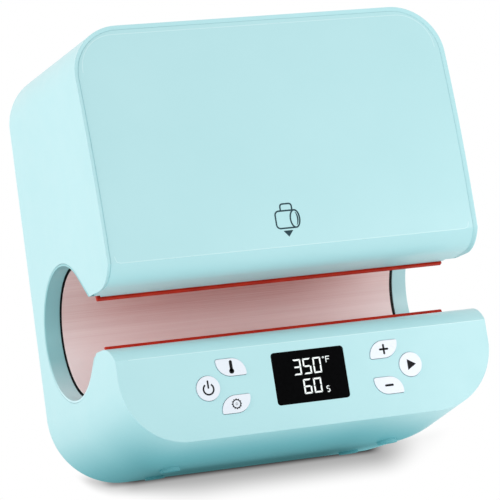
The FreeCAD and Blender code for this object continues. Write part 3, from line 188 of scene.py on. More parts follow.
# Heights, in metres, between which the left ring's painted shade goes over to a painted lighter
# tone below
RING_PAINTED_LIGHT = (0.068, 0.098)

# Painted shade and light on the liner: its colour is darker above in the middle, as shade, and
# lighter below and at the ends, as light. Heights are in metres, and places along the tunnel are
# squares of metres from the middle.
PAINTED_SHADE_MIDDLE, PAINTED_SHADE_HEIGHT = (0.0025, 0.0145), (0.110, 0.137)
PAINTED_LIGHT_ENDS, PAINTED_LIGHT_HEIGHT = (0.003, 0.0165), (0.095, 0.130)


def plastic(name, light, dark, rough=0.3, coat=0.25, grain=0.00002, below=None):
    """Moulded plastic: faint cloudiness, uneven gloss and a fine orange-peel skin; where a colour
    for below is given, painted light makes the lower part lighter.
    """
    s = Shader(name, rough=rough, coat=coat, coat_rough=0.18)
    cloud = s.spread(s.noise(14.0, 3.0), 0.0, 1.0)
    tone = s.mix(cloud, dark, light)
    # Painted light: the lower part turns to the lighter colour given for below
    if below:
        tone = s.mix(s.spread(s.part("Z"), 1.0, 0.0, *RING_PAINTED_LIGHT), tone, below)
    s.colour(tone)
    s.roughness(s.spread(s.noise(60.0, 4.0), rough - 0.05, rough + 0.07))
    s.bump(s.noise(1400.0, 2.0), grain)
    return s.material


def brushed(name, base, rough=0.34, axis="X"):
    """Sheet or turned metal with fine drawn lines along one axis."""
    s = Shader(name, rough=rough, metal=1.0)
    squeeze = {"X": (6, 900, 900), "Y": (900, 6, 900), "Z": (900, 900, 6)}[axis]
    lines = s.noise(1.0, 4.0, 0.7, s.stretched(*squeeze))
    darker = tuple(0.82 * v for v in base)
    s.colour(s.mix(s.spread(lines, 0.0, 1.0), darker, base))
    s.roughness(s.spread(lines, rough - 0.08, rough + 0.12))
    s.bump(lines, 0.00002, 0.6)
    return s.material


def silicone(name, light, dark):
    """Red silicone rubber with a dusty skin and moulding mottle."""
    s = Shader(name, rough=0.5, specular=0.18)
    s.colour(s.mix(s.spread(s.noise(55.0, 5.0), 0.0, 1.0), dark, light))
    s.roughness(s.spread(s.noise(220.0, 3.0), 0.42, 0.62))
    s.bump(s.noise(900.0, 3.0), 0.00004)
    return s.material


def coated_cloth(name):
    """Coated glass cloth: long fine lines along the tunnel over a pinkish ground, with painted
    shade and painted light.
    """
    s = Shader(name, rough=0.45)
    lines = s.noise(1.0, 5.0, 0.75, s.stretched(9, 1500, 1500))
    streaks = s.noise(1.0, 3.0, 0.6, s.stretched(3, 260, 260))
    ground = s.mix(s.spread(streaks, 0.0, 1.0), linear(230, 190, 187), linear(244, 212, 209))
    across, height = s.part("X"), s.part("Z")
    off_middle = s.times(across, across)
    # Painted shade: the ground darkens above, near the middle of the tunnel
    above = s.spread(height, 0.0, 1.0, *PAINTED_SHADE_HEIGHT)
    above = s.times(s.spread(off_middle, 1.0, 0.0, *PAINTED_SHADE_MIDDLE), above)
    ground = s.mix(above, ground, linear(214, 158, 154))
    # Painted light: the ground lightens below and towards the open ends
    below = s.spread(height, 1.0, 0.0, *PAINTED_LIGHT_HEIGHT)
    below = s.times(s.spread(off_middle, 0.6, 1.0, *PAINTED_LIGHT_ENDS), below)
    ground = s.mix(below, ground, linear(255, 240, 240))
    s.colour(s.mix(s.spread(lines, 0.0, 0.4, 0.35, 0.65), ground, linear(254, 238, 236)))
    s.roughness(s.spread(lines, 0.32, 0.5))
    s.bump(lines, 0.00003, 0.6)
    return s.material


def rubber(name, base, spread):
    """Matt rubber with faint mottle, lighter in places by spread."""
    s = Shader(name, rough=0.62, specular=0.2)
    lighter = tuple(v + spread for v in base)
    s.colour(s.mix(s.spread(s.noise(90.0, 4.0), 0.0, 1.0), base, lighter))
    s.roughness(s.spread(s.noise(300.0, 3.0), 0.52, 0.75))
    s.bump(s.noise(1500.0, 2.0), 0.00003)
    return s.material


def circuit(name):
    """Solder mask over copper tracks, with plated pads."""
    s = Shader(name, rough=0.35, coat=0.3)
    tracks = s.wave(170.0, "X", 6.0)
    pads = s.voronoi(190.0)
    copper = s.spread(tracks, 0.0, 1.0, 0.45, 0.6)
    mask = s.mix(copper, (0.006, 0.07, 0.03), (0.015, 0.13, 0.055))
    s.colour(s.mix(s.spread(pads, 1.0, 0.0, 0.08, 0.12), mask, (0.55, 0.5, 0.4)))
    s.bump(tracks, 0.00003)
    return s.material


def felt(name):
    """Pale insulating felt with raised fibres."""
    s = Shader(name, rough=0.95, sheen=0.4, specular=0.2)
    fibres = s.noise(700.0, 8.0, 0.8)
    s.colour(s.mix(s.spread(fibres, 0.0, 1.0), (0.55, 0.5, 0.42), (0.86, 0.83, 0.76)))
    s.bump(fibres, 0.0004)
    return s.material


def window_black(name):
    """Smoked display window: deep black with a faint print grain under gloss."""
    s = Shader(name, rough=0.08, specular=0.02)
    grain = s.spread(s.noise(500.0, 2.0), 0.0, 1.0)
    s.colour(s.mix(grain, (0.0012, 0.0012, 0.0014), (0.0022, 0.0022, 0.0026)))
    s.roughness(s.spread(s.noise(80.0, 2.0), 0.06, 0.12))
    return s.material


def digit_white(name):
    """Lit display bars: white that glows a little."""
    s = Shader(name, rough=0.5, specular=0.2)
    grain = s.spread(s.noise(400.0, 2.0), 0.0, 1.0)
    s.colour(s.mix(grain, (0.80, 0.83, 0.82), (0.9, 0.92, 0.9)))
    s.principled.inputs["Emission Color"].default_value = (0.9, 0.95, 0.93, 1.0)
    s.principled.inputs["Emission Strength"].default_value = 0.25
    return s.material


def print_ink(name, light, dark):
    """Pad-printed ink: slightly uneven and matter than the plastic."""
    s = Shader(name, rough=0.55, specular=0.15)
    s.colour(s.mix(s.spread(s.noise(260.0, 4.0), 0.0, 1.0), dark, light))
    s.bump(s.noise(1200.0, 2.0), 0.00002)
    return s.material


def windings(name):
    """Dark varnished wire in fine turns."""
    s = Shader(name, rough=0.4, coat=0.2)
    turns = s.wave(500.0, "Z", 0.6)
    s.colour(s.mix(s.spread(turns, 0.0, 1.0), (0.06, 0.05, 0.04), (0.28, 0.2, 0.09)))
    s.bump(turns, 0.0001)
    return s.material


def ribbed(name, light, dark, pitch, axis):
    """Flat cable with its cores side by side."""
    s = Shader(name, rough=0.45)
    lines = s.wave(pitch, axis)
    s.colour(s.mix(s.spread(lines, 0.0, 1.0, 0.4, 0.6), dark, light))
    s.bump(lines, 0.00015)
    return s.material


MINT = plastic("mint_plastic", linear(190, 232, 236), linear(187, 230, 234), rough=0.36, coat=0.15)
# Painted highlight: a lighter copy of the mint for bright lines along edges
MINT_PAINTED_HIGHLIGHT = plastic(
    "mint_painted_highlight", linear(212, 243, 246), linear(206, 240, 243), rough=0.3, coat=0.2)
# Painted shade on the left ring: a darker copy of the mint, with painted light making it lighter
# towards its lower end
MINT_PAINTED_SHADE = plastic(
    "mint_plastic_painted_shade", linear(148, 206, 211), linear(141, 200, 205), rough=0.34, coat=0.2,
    below=linear(206, 241, 245))
WHITE = plastic("white_keys", linear(243, 246, 254), linear(238, 242, 251), rough=0.28, coat=0.3)
BLACK = plastic(
    "black_plastic", (0.016, 0.016, 0.018), (0.011, 0.011, 0.012), rough=0.45, coat=0.0,
    grain=0.00005)
RED = silicone("red_silicone", linear(212, 50, 26), linear(184, 34, 16))
LINER = coated_cloth("liner_pink")
RUBBER = rubber("black_rubber", (0.004, 0.004, 0.0045), 0.004)
FOOT = rubber("mint_rubber", linear(168, 220, 225), 0.03)
STEEL_X = brushed("zinc_steel", (0.55, 0.57, 0.6))
STEEL_Z = brushed("zinc_steel_upright", (0.55, 0.57, 0.6), axis="Z")
JAW_STEEL = brushed("jaw_steel", (0.42, 0.43, 0.45), 0.4)
BRIGHT = brushed("bright_steel", (0.68, 0.69, 0.71), 0.22)
GEAR = brushed("gear_steel", (0.36, 0.37, 0.39), 0.3, "Y")
MOTOR = brushed("motor_metal", (0.58, 0.6, 0.62), 0.3)
SINK = brushed("sink_aluminium", (0.62, 0.63, 0.65), 0.38, "Z")
SCREW = brushed("screw_steel", (0.5, 0.51, 0.52), 0.3, "Y")
BRASS = brushed("pin_brass", (0.72, 0.55, 0.22), 0.28, "Y")
FELT = felt("felt")
BOARD = circuit("green_board")
WINDOW = window_black("display_black")
DIGITS = digit_white("display_digits")
INK = print_ink("key_ink", (0.008, 0.008, 0.01), (0.005, 0.005, 0.006))
SLATE = print_ink("slate_ink", linear(52, 78, 86), linear(42, 68, 76))
IRON = windings("transformer_iron")
CABLE = ribbed("grey_cable", (0.5, 0.51, 0.53), (0.3, 0.31, 0.33), 250.0, "X")
WIRE = plastic("red_wire", (0.42, 0.03, 0.02), (0.34, 0.02, 0.015), rough=0.5, coat=0.0)

# Which nodes have each material
LOOKS = {
    MINT: "housing_shell upper_front_cover rear_cover right_tunnel_ring",
    MINT_PAINTED_SHADE: "left_tunnel_ring",
    RUBBER: "left_gasket right_gasket",
    FOOT: "rubber_feet",
    STEEL_Z: "left_side_plate right_side_plate motor_bracket rear_cross_plate",
    STEEL_X: "heat_shield mat_anchor_rail",
    JAW_STEEL: "upper_jaw_shell lower_jaw_shell",
    BRIGHT: "upper_hinge_rod lower_hinge_rod board_standoffs",
    GEAR: "upper_sector_gear lower_sector_gear drive_sector_gear drive_pinion",
    MOTOR: "gear_motor thermal_fuse temperature_sensor capacitors",
    FELT: "upper_jaw_insulation lower_jaw_insulation",
    LINER: "liner_sheet",
    RED: "heater_mat upper_lip_strip lower_lip_strip",
    BOARD: "power_board control_board",
    IRON: "transformer",
    BLACK: "power_relays limit_switches tact_switches power_inlet rocker_switch_body rocker"
           " display_module",
    SINK: "heat_sink",
    WINDOW: "display_window",
    WHITE: "key_power key_temperature key_timer key_plus key_minus key_start",
    CABLE: "ribbon_cable",
    WIRE: "internal_wires",
    BRASS: "inlet_pins",
    SCREW: "chassis_screws rear_cover_screws board_screws",
}


def dress_nodes():
    """Gives each CAD node its one material."""
    for material, names in LOOKS.items():
        for name in names.split():
            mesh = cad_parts[name].data
            mesh.materials.clear()
            mesh.materials.append(material)


def soften(names, width, angle=35):
    """Rounds edges of CAD nodes to a width in millimetres, where faces meet at angle or more."""
    for name in names.split():
        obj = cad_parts[name]
        weld = obj.modifiers.new("Weld", "WELD")
        weld.merge_threshold = 0.005 * MM
        bevel = obj.modifiers.new("Bevel", "BEVEL")
        bevel.width = width * MM
        bevel.segments = 3
        bevel.limit_method = "ANGLE"
        bevel.angle_limit = math.radians(angle)
        bevel.use_clamp_overlap = True
        shading = obj.modifiers.new("Shading", "WEIGHTED_NORMAL")
        shading.keep_sharp = True


# Mesh helpers


def add_mesh(name, verts, faces, material, body=None, smooth=True):
    """A new piece from points in millimetres, which rides on a body where one is named."""
    mesh = bpy.data.meshes.new(name)
    mesh.from_pydata([Vector(v) * MM for v in verts], [], faces)
    mesh.materials.append(material)
    bm = bmesh.new()
    bm.from_mesh(mesh)
    bmesh.ops.recalc_face_normals(bm, faces=bm.faces)
    bm.to_mesh(mesh)
    bm.free()
    for polygon in mesh.polygons:
        polygon.use_smooth = smooth
    obj = bpy.data.objects.new(name, mesh)
    bpy.context.scene.collection.objects.link(obj)
    if body:
        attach(obj, body)
    return obj


def solid_shapes(shapes, lift, depth, surface):
    """Vertices and faces of flat shapes raised over a surface: surface(u, v) gives its y."""
    verts, faces = [], []
    for shape in shapes:
        count = len(shape)
        base = len(verts)
        for y_off in (-lift, depth):
            verts += [(u, surface(u, v) + y_off, v) for u, v in shape]
        faces.append(tuple(range(base, base + count)))
        faces.append(tuple(reversed(range(base + count, base + 2 * count))))
        for i in range(count):
            j = (i + 1) % count
            faces.append((base + i, base + j, base + count + j, base + count + i))
    return verts, faces


def ring_shapes(u, v, r_in, r_out, start=0.0, stop=360.0, steps=48):
    """A ring, or a part of one between two angles, as quads side by side."""
    shapes = []
    span = stop - start
    count = max(3, int(steps * span / 360))
    for i in range(count):
        a = math.radians(start + span * i / count)
        b = math.radians(start + span * (i + 1) / count)
        shapes.append([
            (u + r_in * math.cos(a), v + r_in * math.sin(a)),
            (u + r_out * math.cos(a), v + r_out * math.sin(a)),
            (u + r_out * math.cos(b), v + r_out * math.sin(b)),
            (u + r_in * math.cos(b), v + r_in * math.sin(b)),
        ])
    return shapes


def disc_shape(u, v, r, steps=32):
    """A full disc as one shape."""
    turns = [2 * math.pi * i / steps for i in range(steps)]
    return [(u + r * math.cos(a), v + r * math.sin(a)) for a in turns]


def bar_shape(u0, v0, u1, v1, width):
    """Straight bar with round ends."""
    along, steps = math.atan2(v1 - v0, u1 - u0), 8
    points = []
    for cu, cv, turn in ((u1, v1, -90), (u0, v0, 90)):
        for k in range(steps + 1):
            a = along + math.radians(turn + 180 * k / steps)
            points.append((cu + width / 2 * math.cos(a), cv + width / 2 * math.sin(a)))
    return points


def flat(y):
    """A flat face at one depth."""
    return lambda u, v: y


def bulge(u, v):
    """The bulging face of the upper front cover: y at the height v."""
    return BULGE_Y - math.sqrt(BULGE_R ** 2 - (v - BULGE_Z) ** 2)


def decal(name, shapes, surface, material, body, lift=0.06, depth=0.3):
    """Flat shapes laid on a surface as thin solids."""
    verts, faces = solid_shapes(shapes, lift, depth, surface)
    add_mesh(name, verts, faces, material, body, smooth=False)


# Symbols on the keys


def key_middle(name):
    low, high = box_mm(name)
    return (low.x + high.x) / 2, (low.z + high.z) / 2


def key_symbol(key, shapes):
    """A sign on a key, which moves with it."""
    decal(key + "_symbol", shapes, flat(KEY_FACE), INK, key + "_button")


def key_symbols():
    """Signs drawn from each key's middle, in millimetres."""
    u, v = key_middle("key_power")
    ring = ring_shapes(u, v - 0.6, 3.3, 4.5, 125, 415)
    key_symbol("key_power", ring + [bar_shape(u, v + 0.4, u, v + 5.2, 1.25)])
    u, v = key_middle("key_temperature")
    stem, bulb = bar_shape(u, v - 2.4, u, v + 3.8, 2.3), disc_shape(u, v - 2.9, 1.9)
    key_symbol("key_temperature", [stem, bulb])
    u, v = key_middle("key_timer")
    key_symbol("key_timer", ring_shapes(u, v, 2.6, 3.4) + timer_marks(u, v))
    hand = ring_shapes(u, v, 0.5, 1.0, steps=24)
    decal("key_timer_hand", hand, flat(KEY_FACE), CABLE, "key_timer_button")
    u, v = key_middle("key_plus")
    arms = [bar_shape(u - 3.0, v, u + 3.0, v, 1.5)]
    arms += [bar_shape(u, v + side * 0.76, u, v + side * 3.1, 1.5) for side in (-1, 1)]
    key_symbol("key_plus", arms)
    u, v = key_middle("key_minus")
    key_symbol("key_minus", [bar_shape(u - 2.7, v, u + 2.7, v, 1.6)])
    u, v = key_middle("key_start")
    key_symbol("key_start", [[(u - 2.6, v - 4.0), (u + 4.2, v), (u - 2.6, v + 4.0)]])


def timer_marks(u, v, count=12, start=3.3, stop=3.65):
    """Short bars round the timer's ring."""
    marks = []
    for i in range(count):
        a = math.radians(360 / count * i)
        c, n = math.cos(a), math.sin(a)
        marks.append(bar_shape(u + start * c, v + start * n, u + stop * c, v + stop * n, 0.7))
    return marks


# The display, in millimetres: the bars that each digit lights, and the left end, foot, height and
# line width of each number
LIT_BARS = {"0": "abcdef", "3": "abcdg", "5": "acdfg", "6": "acdefg"}
NUMBERS = (("350", -12.4, 51.5, 11.5, 1.15), ("60", -6.4, 37.3, 10.9, 1.2))
DIGIT_WIDTH, DIGIT_STEP, DIGIT_GAP = 6.3, 7.9, 0.22
UNIT_LINE = 0.6


def digit_shapes(symbol, left, low, height, s):
    """The lit bars of one digit, with mitred ends and small gaps between them. s is their width."""
    right, high, middle = left + DIGIT_WIDTH, low + height, low + height / 2
    g = DIGIT_GAP
    bars = {
        "a": [(left + g, high), (right - g, high), (right - s - g, high - s),
              (left + s + g, high - s)],
        "d": [(left + g, low), (left + s + g, low + s), (right - s - g, low + s),
              (right - g, low)],
        "g": [(left + s * 0.5 + g, middle), (left + s + g, middle + s / 2),
              (right - s - g, middle + s / 2), (right - s * 0.5 - g, middle),
              (right - s - g, middle - s / 2), (left + s + g, middle - s / 2)],
        "b": [(right, high - g), (right, middle + g * 0.6), (right - s * 0.5, middle + g * 0.4),
              (right - s, middle + s / 2 + g * 0.6), (right - s, high - s - g)],
        "c": [(right, middle - g * 0.6), (right, low + g), (right - s, low + s + g),
              (right - s, middle - s / 2 - g * 0.6), (right - s * 0.5, middle - g * 0.4)],
        "f": [(left, high - g), (left + s, high - s - g), (left + s, middle + s / 2 + g * 0.6),
              (left + s * 0.5, middle + g * 0.4), (left, middle + g * 0.6)],
        "e": [(left, middle - g * 0.6), (left + s * 0.5, middle - g * 0.4),
              (left + s, middle - s / 2 - g * 0.6), (left + s, low + s + g), (left, low + g)],
    }
    return [bars[name] for name in LIT_BARS[symbol]]


def display_digits():
    """The two numbers, the degree sign with its F, and the s of the seconds."""
    shapes = []
    for text, left, low, height, width in NUMBERS:
        for i, symbol in enumerate(text):
            shapes += digit_shapes(symbol, left + DIGIT_STEP * i, low, height, width)
    shapes += ring_shapes(11.9, 62.3, 0.35, 0.75, steps=20)
    for line in ((13.9, 58.7, 13.9, 62.7), (14.25, 62.7, 16.6, 62.7), (14.25, 60.8, 16.2, 60.8)):
        shapes.append(bar_shape(*line, UNIT_LINE))
    for middle, start, stop in ((40.3, 40, 262), (38.2, -140, 82)):
        shapes += ring_shapes(12.4, middle, 0.75, 1.4, start, stop, 24)
    decal("display_digits", shapes, flat(WINDOW_FACE), DIGITS, "press", lift=0.03, depth=0.2)


# Mug pictogram on the upper front cover


def stroke(points, width, closed=False):
    """A bent line as separate quads, joined along the middle of each corner."""
    count = len(points)
    sides = []
    for i in range(count):
        before = points[i - 1] if closed or i > 0 else points[i]
        after = points[(i + 1) % count] if closed or i < count - 1 else points[i]
        du, dv = after[0] - before[0], after[1] - before[1]
        size = math.hypot(du, dv)
        nu, nv = -dv / size * width / 2, du / size * width / 2
        u, v = points[i]
        sides.append(((u + nu, v + nv), (u - nu, v - nv)))
    quads = []
    for i in range(count if closed else count - 1):
        here, there = sides[i], sides[(i + 1) % count]
        quads.append([here[0], there[0], there[1], here[1]])
    return quads


def arc_points(u, v, ru, rv, start, stop, steps=16):
    """Points along an elliptic arc, between two angles in degrees."""
    turns = [math.radians(start + (stop - start) * i / steps) for i in range(steps + 1)]
    return [(u + ru * math.cos(a), v + rv * math.sin(a)) for a in turns]


def pictogram():
    """A mug on its side over a pointer, as a plain sign for where it goes."""
    left, mouth, low, high = -13.3, 1.2, 156.7, 169.5
    middle, half = (low + high) / 2, (high - low) / 2
    line, corner, bend = 1.15, 3.0, 2.0
    grip_left, grip_right, grip_foot = -8.6, 0.4, high + 0.55
    wall = arc_points(left + corner, high - corner, corner, corner, 90, 180, 8)
    wall += arc_points(left + corner, low + corner, corner, corner, 180, 270, 8)
    lines = stroke([(mouth, high)] + wall + [(mouth, low)], line)
    rim, rim_half = mouth + 0.6, 3.6
    lines += stroke(arc_points(rim, middle, rim_half, half, 0, 360, 40)[:-1], line, closed=True)
    handle = [(grip_left, grip_foot)]
    handle += arc_points(grip_left + bend, high + corner, bend, bend, 180, 90, 6)
    handle += arc_points(grip_right - bend, high + corner, bend, bend, 90, 0, 6)
    lines += stroke(handle + [(grip_right, grip_foot)], line)
    pointer = [(-4.8, 150.3), (-1.0, 154.9), (-8.6, 154.9)]
    shade_out, shade_in, shade_half, shade_end = 2.6, 1.5, half - 1.4, 70
    shade = arc_points(rim, middle, shade_out, shade_half, -shade_end, shade_end, 16)
    shade += arc_points(rim, middle, shade_in, shade_half, shade_end, -shade_end, 16)
    for name, shapes in (("symbol", lines), ("pointer", [pointer]), ("shade", [shade])):
        decal("mug_" + name, shapes, bulge, SLATE, "press", lift=0.05)


# Rim of the upper front cover, and painted highlights along the edges of its face and of the
# control panel

# The cover's outline, in millimetres: the middle of its round corners and the least radius of
# the outline there, where its sides and its top begin, and the height that the top looks away
# from. Faces belong to the sides or the top by these parts of their normals.
CORNER_X, CORNER_Z, CORNER_LEAST = 113, 284, 25
SIDES_FROM, TOP_FROM, TOP_AWAY_FROM = 135, 270, 240
SIDEWAYS_LEAST, FORWARD_MOST = 0.7, 0.5
SAME_POINT = 0.02

# The rim, in millimetres: how far it is set in, towards which depth and height, and how far it
# reaches out into the seam
RIM_DEPTH, RIM_AIM_Y, RIM_AIM_Z, RIM_REACH = 0.4, -60, 150, 0.2


def cover_edge_faces(cover):
    """Corner points of the faces that look out of the cover's outline, in millimetres."""
    place = cover.matrix_world
    turn = place.to_3x3()
    for polygon in cover.data.polygons:
        normal = turn @ polygon.normal
        x, z = (place @ polygon.center).x / MM, (place @ polygon.center).z / MM
        beside = abs(normal.x) > SIDEWAYS_LEAST and normal.x * x > 0 and abs(x) > SIDES_FROM
        outwards = normal.x * x + normal.z * (z - TOP_AWAY_FROM) > 0
        above = z > TOP_FROM and abs(normal.y) < FORWARD_MOST and outwards
        radius = math.hypot(max(abs(x) - CORNER_X, 0), max(z - CORNER_Z, 0))
        if beside or (above and radius > CORNER_LEAST):
            yield [place @ cover.data.vertices[i].co / MM for i in polygon.vertices], normal


def cover_rim():
    """Closes the seam round the cover to a shallow groove a little behind its face."""
    corners, outward, faces = [], [], []
    numbers, sides = {}, {}
    for points, normal in cover_edge_faces(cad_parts["upper_front_cover"]):
        face = []
        for point in points:
            key = tuple(round(v / SAME_POINT) for v in point)
            if key not in numbers:
                numbers[key] = len(corners)
                corners.append(point)
                outward.append(Vector((0, 0, 0)))
            outward[numbers[key]] += normal
            face.append(numbers[key])
        faces.append(face)
        for a, b in zip(face, face[1:] + face[:1]):
            sides[(a, b)] = face
    verts = []
    for point, normal in zip(corners, outward):
        aim = Vector((0, RIM_AIM_Y - point.y, max(RIM_AIM_Z - point.z, 0)))
        verts.append(point + aim.normalized() * RIM_DEPTH)
    verts += [v + n.normalized() * RIM_REACH for v, n in zip(verts, outward)]
    count = len(corners)
    solid = [[i + count for i in face] for face in faces] + [face[::-1] for face in faces]
    solid += [(a, b, b + count, a + count) for a, b in sides if (b, a) not in sides]
    add_mesh("cover_rim", verts, solid, MINT, "press", smooth=False)


def painted_highlight_lines():
    """Painted highlights: lighter lines along the edges of the cover's face and of the control
    panel, where the moulding catches light.
    """
    foot = [(135.2, 143.4), (138.2, 144.4), (139.3, 147.5)]
    corner_x, corner_z, radius = 112.7, 283.8, 26.6
    path = [(-u, v) for u, v in reversed(foot)] + foot
    path += arc_points(corner_x, corner_z, radius, radius, 0, 90, 14)
    path += arc_points(-corner_x, corner_z, radius, radius, 90, 180, 14)
    line = stroke(path, 0.55, closed=True)
    decal("cover_face_painted_highlight", line, bulge, MINT_PAINTED_HIGHLIGHT, "press", lift=0.04, depth=0.2)
    panel_top = 76.1
    line = bar_shape(-136.0, panel_top, 144.0, panel_top, 0.5)
    decal("panel_upper_painted_highlight", [line], flat(PANEL_Y), MINT_PAINTED_HIGHLIGHT, "press", lift=0.03, depth=0.2)


# Liner and heater mat, each in an upper and a lower half


def sleeve_half(name, node, side, r_in, r_out, material, edge):
    """Upper or lower half of a C-shaped layer in fine steps, with ends of their own look."""
    steps, along, sharp_from = 90, 12, 40
    verts, faces, ends = [], [], []
    for i in range(steps + 1):
        phi = math.radians(side * HALF_ARC * i / steps)
        for r in (r_in, r_out):
            for k in range(along + 1):
                x = LINER_LOW.x + (LINER_HIGH.x - LINER_LOW.x) * k / along
                verts.append((x, TUNNEL_Y + r * math.cos(phi), TUNNEL_Z + r * math.sin(phi)))
    row = along + 1
    for i in range(steps):
        a, b = 2 * row * i, 2 * row * (i + 1)
        for k in range(along):
            faces.append((a + k, a + k + 1, b + k + 1, b + k))
            faces.append((a + row + k, b + row + k, b + row + k + 1, a + row + k + 1))
        for k in (0, along):
            faces.append((a + k, b + k, b + row + k, a + row + k))
            ends.append(len(faces) - 1)
    a = 2 * row * steps
    for k in range(along):
        faces.append((a + k, a + row + k, a + row + k + 1, a + k + 1))
    obj = add_mesh(name, verts, faces, material)
    obj.data.set_sharp_from_angle(angle=math.radians(sharp_from))
    obj.data.materials.append(edge)
    for i in ends:
        obj.data.polygons[i].material_index = 1
    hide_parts(node)
    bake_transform(obj)


def sleeve():
    """Both layers, each in an upper and a lower half."""
    for side, half in ((1, "upper"), (-1, "lower")):
        sleeve_half(half + "_liner", "liner_sheet", side, LINER_R, LINER_OUT, LINER, LINER)
        sleeve_half(half + "_heater_mat", "heater_mat", side, MAT_R, MAT_OUT, RED, RUBBER)


# Camera, light and stage

# The fitted camera: its place in metres, its angles in degrees, its focal length and the picture's
# width in pixels, and the sensor's width in millimetres
CAMERA_AT = (-0.82894, -1.98293, -0.13530)
AZIMUTH, ELEVATION, ROLL = -22.67307, -7.72665, 8.98375
FOCAL, PICTURE, SENSOR = 2900, 500, 36


def camera():
    """Looks from the left and from below the foot, and is rolled."""
    az, el, roll = (math.radians(v) for v in (AZIMUTH, ELEVATION, ROLL))
    back = Vector((math.sin(az) * math.cos(el), -math.cos(az) * math.cos(el), math.sin(el)))
    right = (-back).cross(Vector((0, 0, 1))).normalized()
    up = right.cross(-back)
    right_rolled = right * math.cos(roll) - up * math.sin(roll)
    up_rolled = up * math.cos(roll) + right * math.sin(roll)
    data = bpy.data.cameras.new("camera")
    data.lens = FOCAL / PICTURE * SENSOR
    data.sensor_width = SENSOR
    data.sensor_fit = "HORIZONTAL"
    data.clip_end = 50
    cam = bpy.data.objects.new("camera", data)
    rotation = Matrix((right_rolled, up_rolled, back)).transposed()
    cam.matrix_world = Matrix.Translation(CAMERA_AT) @ rotation.to_4x4()
    bpy.context.scene.collection.objects.link(cam)
    bpy.context.scene.camera = cam


def area_light(name, at, aim, size, power):
    """A round lamp at one point that faces another, in metres and watts."""
    data = bpy.data.lights.new(name, "AREA")
    data.shape = "DISK"
    data.size = size
    data.energy = power
    obj = bpy.data.objects.new(name, data)
    direction = Vector(aim) - Vector(at)
    turn = direction.to_track_quat("-Z", "Y").to_matrix().to_4x4()
    obj.matrix_world = Matrix.Translation(at) @ turn
    bpy.context.scene.collection.objects.link(obj)


def white_world(ambient):
    """White to the camera and in reflections, and plain light of this strength otherwise."""
    world = bpy.data.worlds.new("world")
    bpy.context.scene.world = world
    world.use_nodes = True
    tree = world.node_tree
    background = tree.nodes["Background"]
    path = tree.nodes.new("ShaderNodeLightPath")
    seen = path.outputs["Is Camera Ray"]
    for ray in ("Is Glossy Ray", "Is Transmission Ray"):
        either = tree.nodes.new("ShaderNodeMath")
        either.operation = "MAXIMUM"
        tree.links.new(seen, either.inputs[0])
        tree.links.new(path.outputs[ray], either.inputs[1])
        seen = either.outputs[0]
    strength = tree.nodes.new("ShaderNodeMapRange")
    strength.inputs["To Min"].default_value = ambient
    strength.inputs["To Max"].default_value = 1.0
    tree.links.new(seen, strength.inputs["Value"])
    tree.links.new(strength.outputs["Result"], background.inputs["Strength"])
    background.inputs["Color"].default_value = (1, 1, 1, 1)


# The stage, in metres: the rear edge of the base, and the depth at which the camera sees that
# edge on the card. The card's tilt is in degrees. Then come its half width and its reach ahead of
# the edge and behind it.
BASE_REAR, EDGE_SEEN = 0.0885, 0.0975
CARD_TILT, CARD_HALF, CARD_AHEAD, CARD_BEHIND = 20, 3, 1.2, 0.05
FLOOR_HALF = 4

# The floor's shadow: half width, half depth and middle of the dark area. A fade, here and below,
# has the range over which it runs and its values before and after.
SHADE_HALF, SHADE_DEEP, SHADE_Y = 0.13, 0.065, 0.004
SHADE_NEAR, SHADE_WIDE = (0.0, 0.025, 0.6, 1.0), (0.0, 0.11, 0.75, 1.0)

# Light that the floor sends up: below the base, near its edge, and in the open. It opens up
# beyond this half width and ahead of this depth, and sooner to the right of one place.
UNDER_GLOW = (0.07, 0.17, 0.18)
EDGE_GLOW = (0.24, 0.52, 0.56)
OPEN_GLOW = (0.9, 0.97, 0.98)
OPEN_HALF, OPEN_Y, OPEN_RIGHT, OPEN_SOONER = 0.14, -0.03, 0.05, 0.65
UNDER_TO_EDGE, EDGE_TO_OPEN = (-0.08, 0.01, 0.0, 1.0), (-0.01, 0.09, 0.0, 1.0)

# The card's shadow: the sideways shift of what the camera sees, and its picture rows, both per
# metre of depth; where it begins to bend up at the left and at the right, and how fast
CARD_SHIFT, CARD_ROWS = 0.45, 392.0
LEFT_BEND, LEFT_RATE = -0.095, 16000.0
RIGHT_BEND, RIGHT_RATE = 0.1235, 9000.0

# It gets shorter to the left of one place, at this rate and by this much at most. The dark line
# along the edge of the base has its middle at DARK_LINE_X.
SHORT_FROM, SHORT_RATE, SHORT_MOST = -0.02, 173.0, 1.3
DARK_LINE_X = 0.006

# Fades of the card's wide shadow, of its dark line, and of both: down in picture rows, and across
# and in depth in metres
WIDE_DOWN, WIDE_DEPTH = (3.0, 33.0, 0.6, 0.0), (-0.2, 0.0, 0.0, 1.0)
WIDE_LEFT, WIDE_RIGHT = (-0.1, -0.08, 0.67, 1.0), (0.115, 0.165, 1.0, 0.15)
LINE_DOWN, LINE_ASIDE = (-0.5, 6.5, 0.38, 0.0), (0.105, 0.122, 1.0, 0.0)
BOTH_DOWN, BOTH_DEPTH = (-6.0, -2.0, 0.0, 1.0), (-0.041, -0.008, 0.0, 1.0)


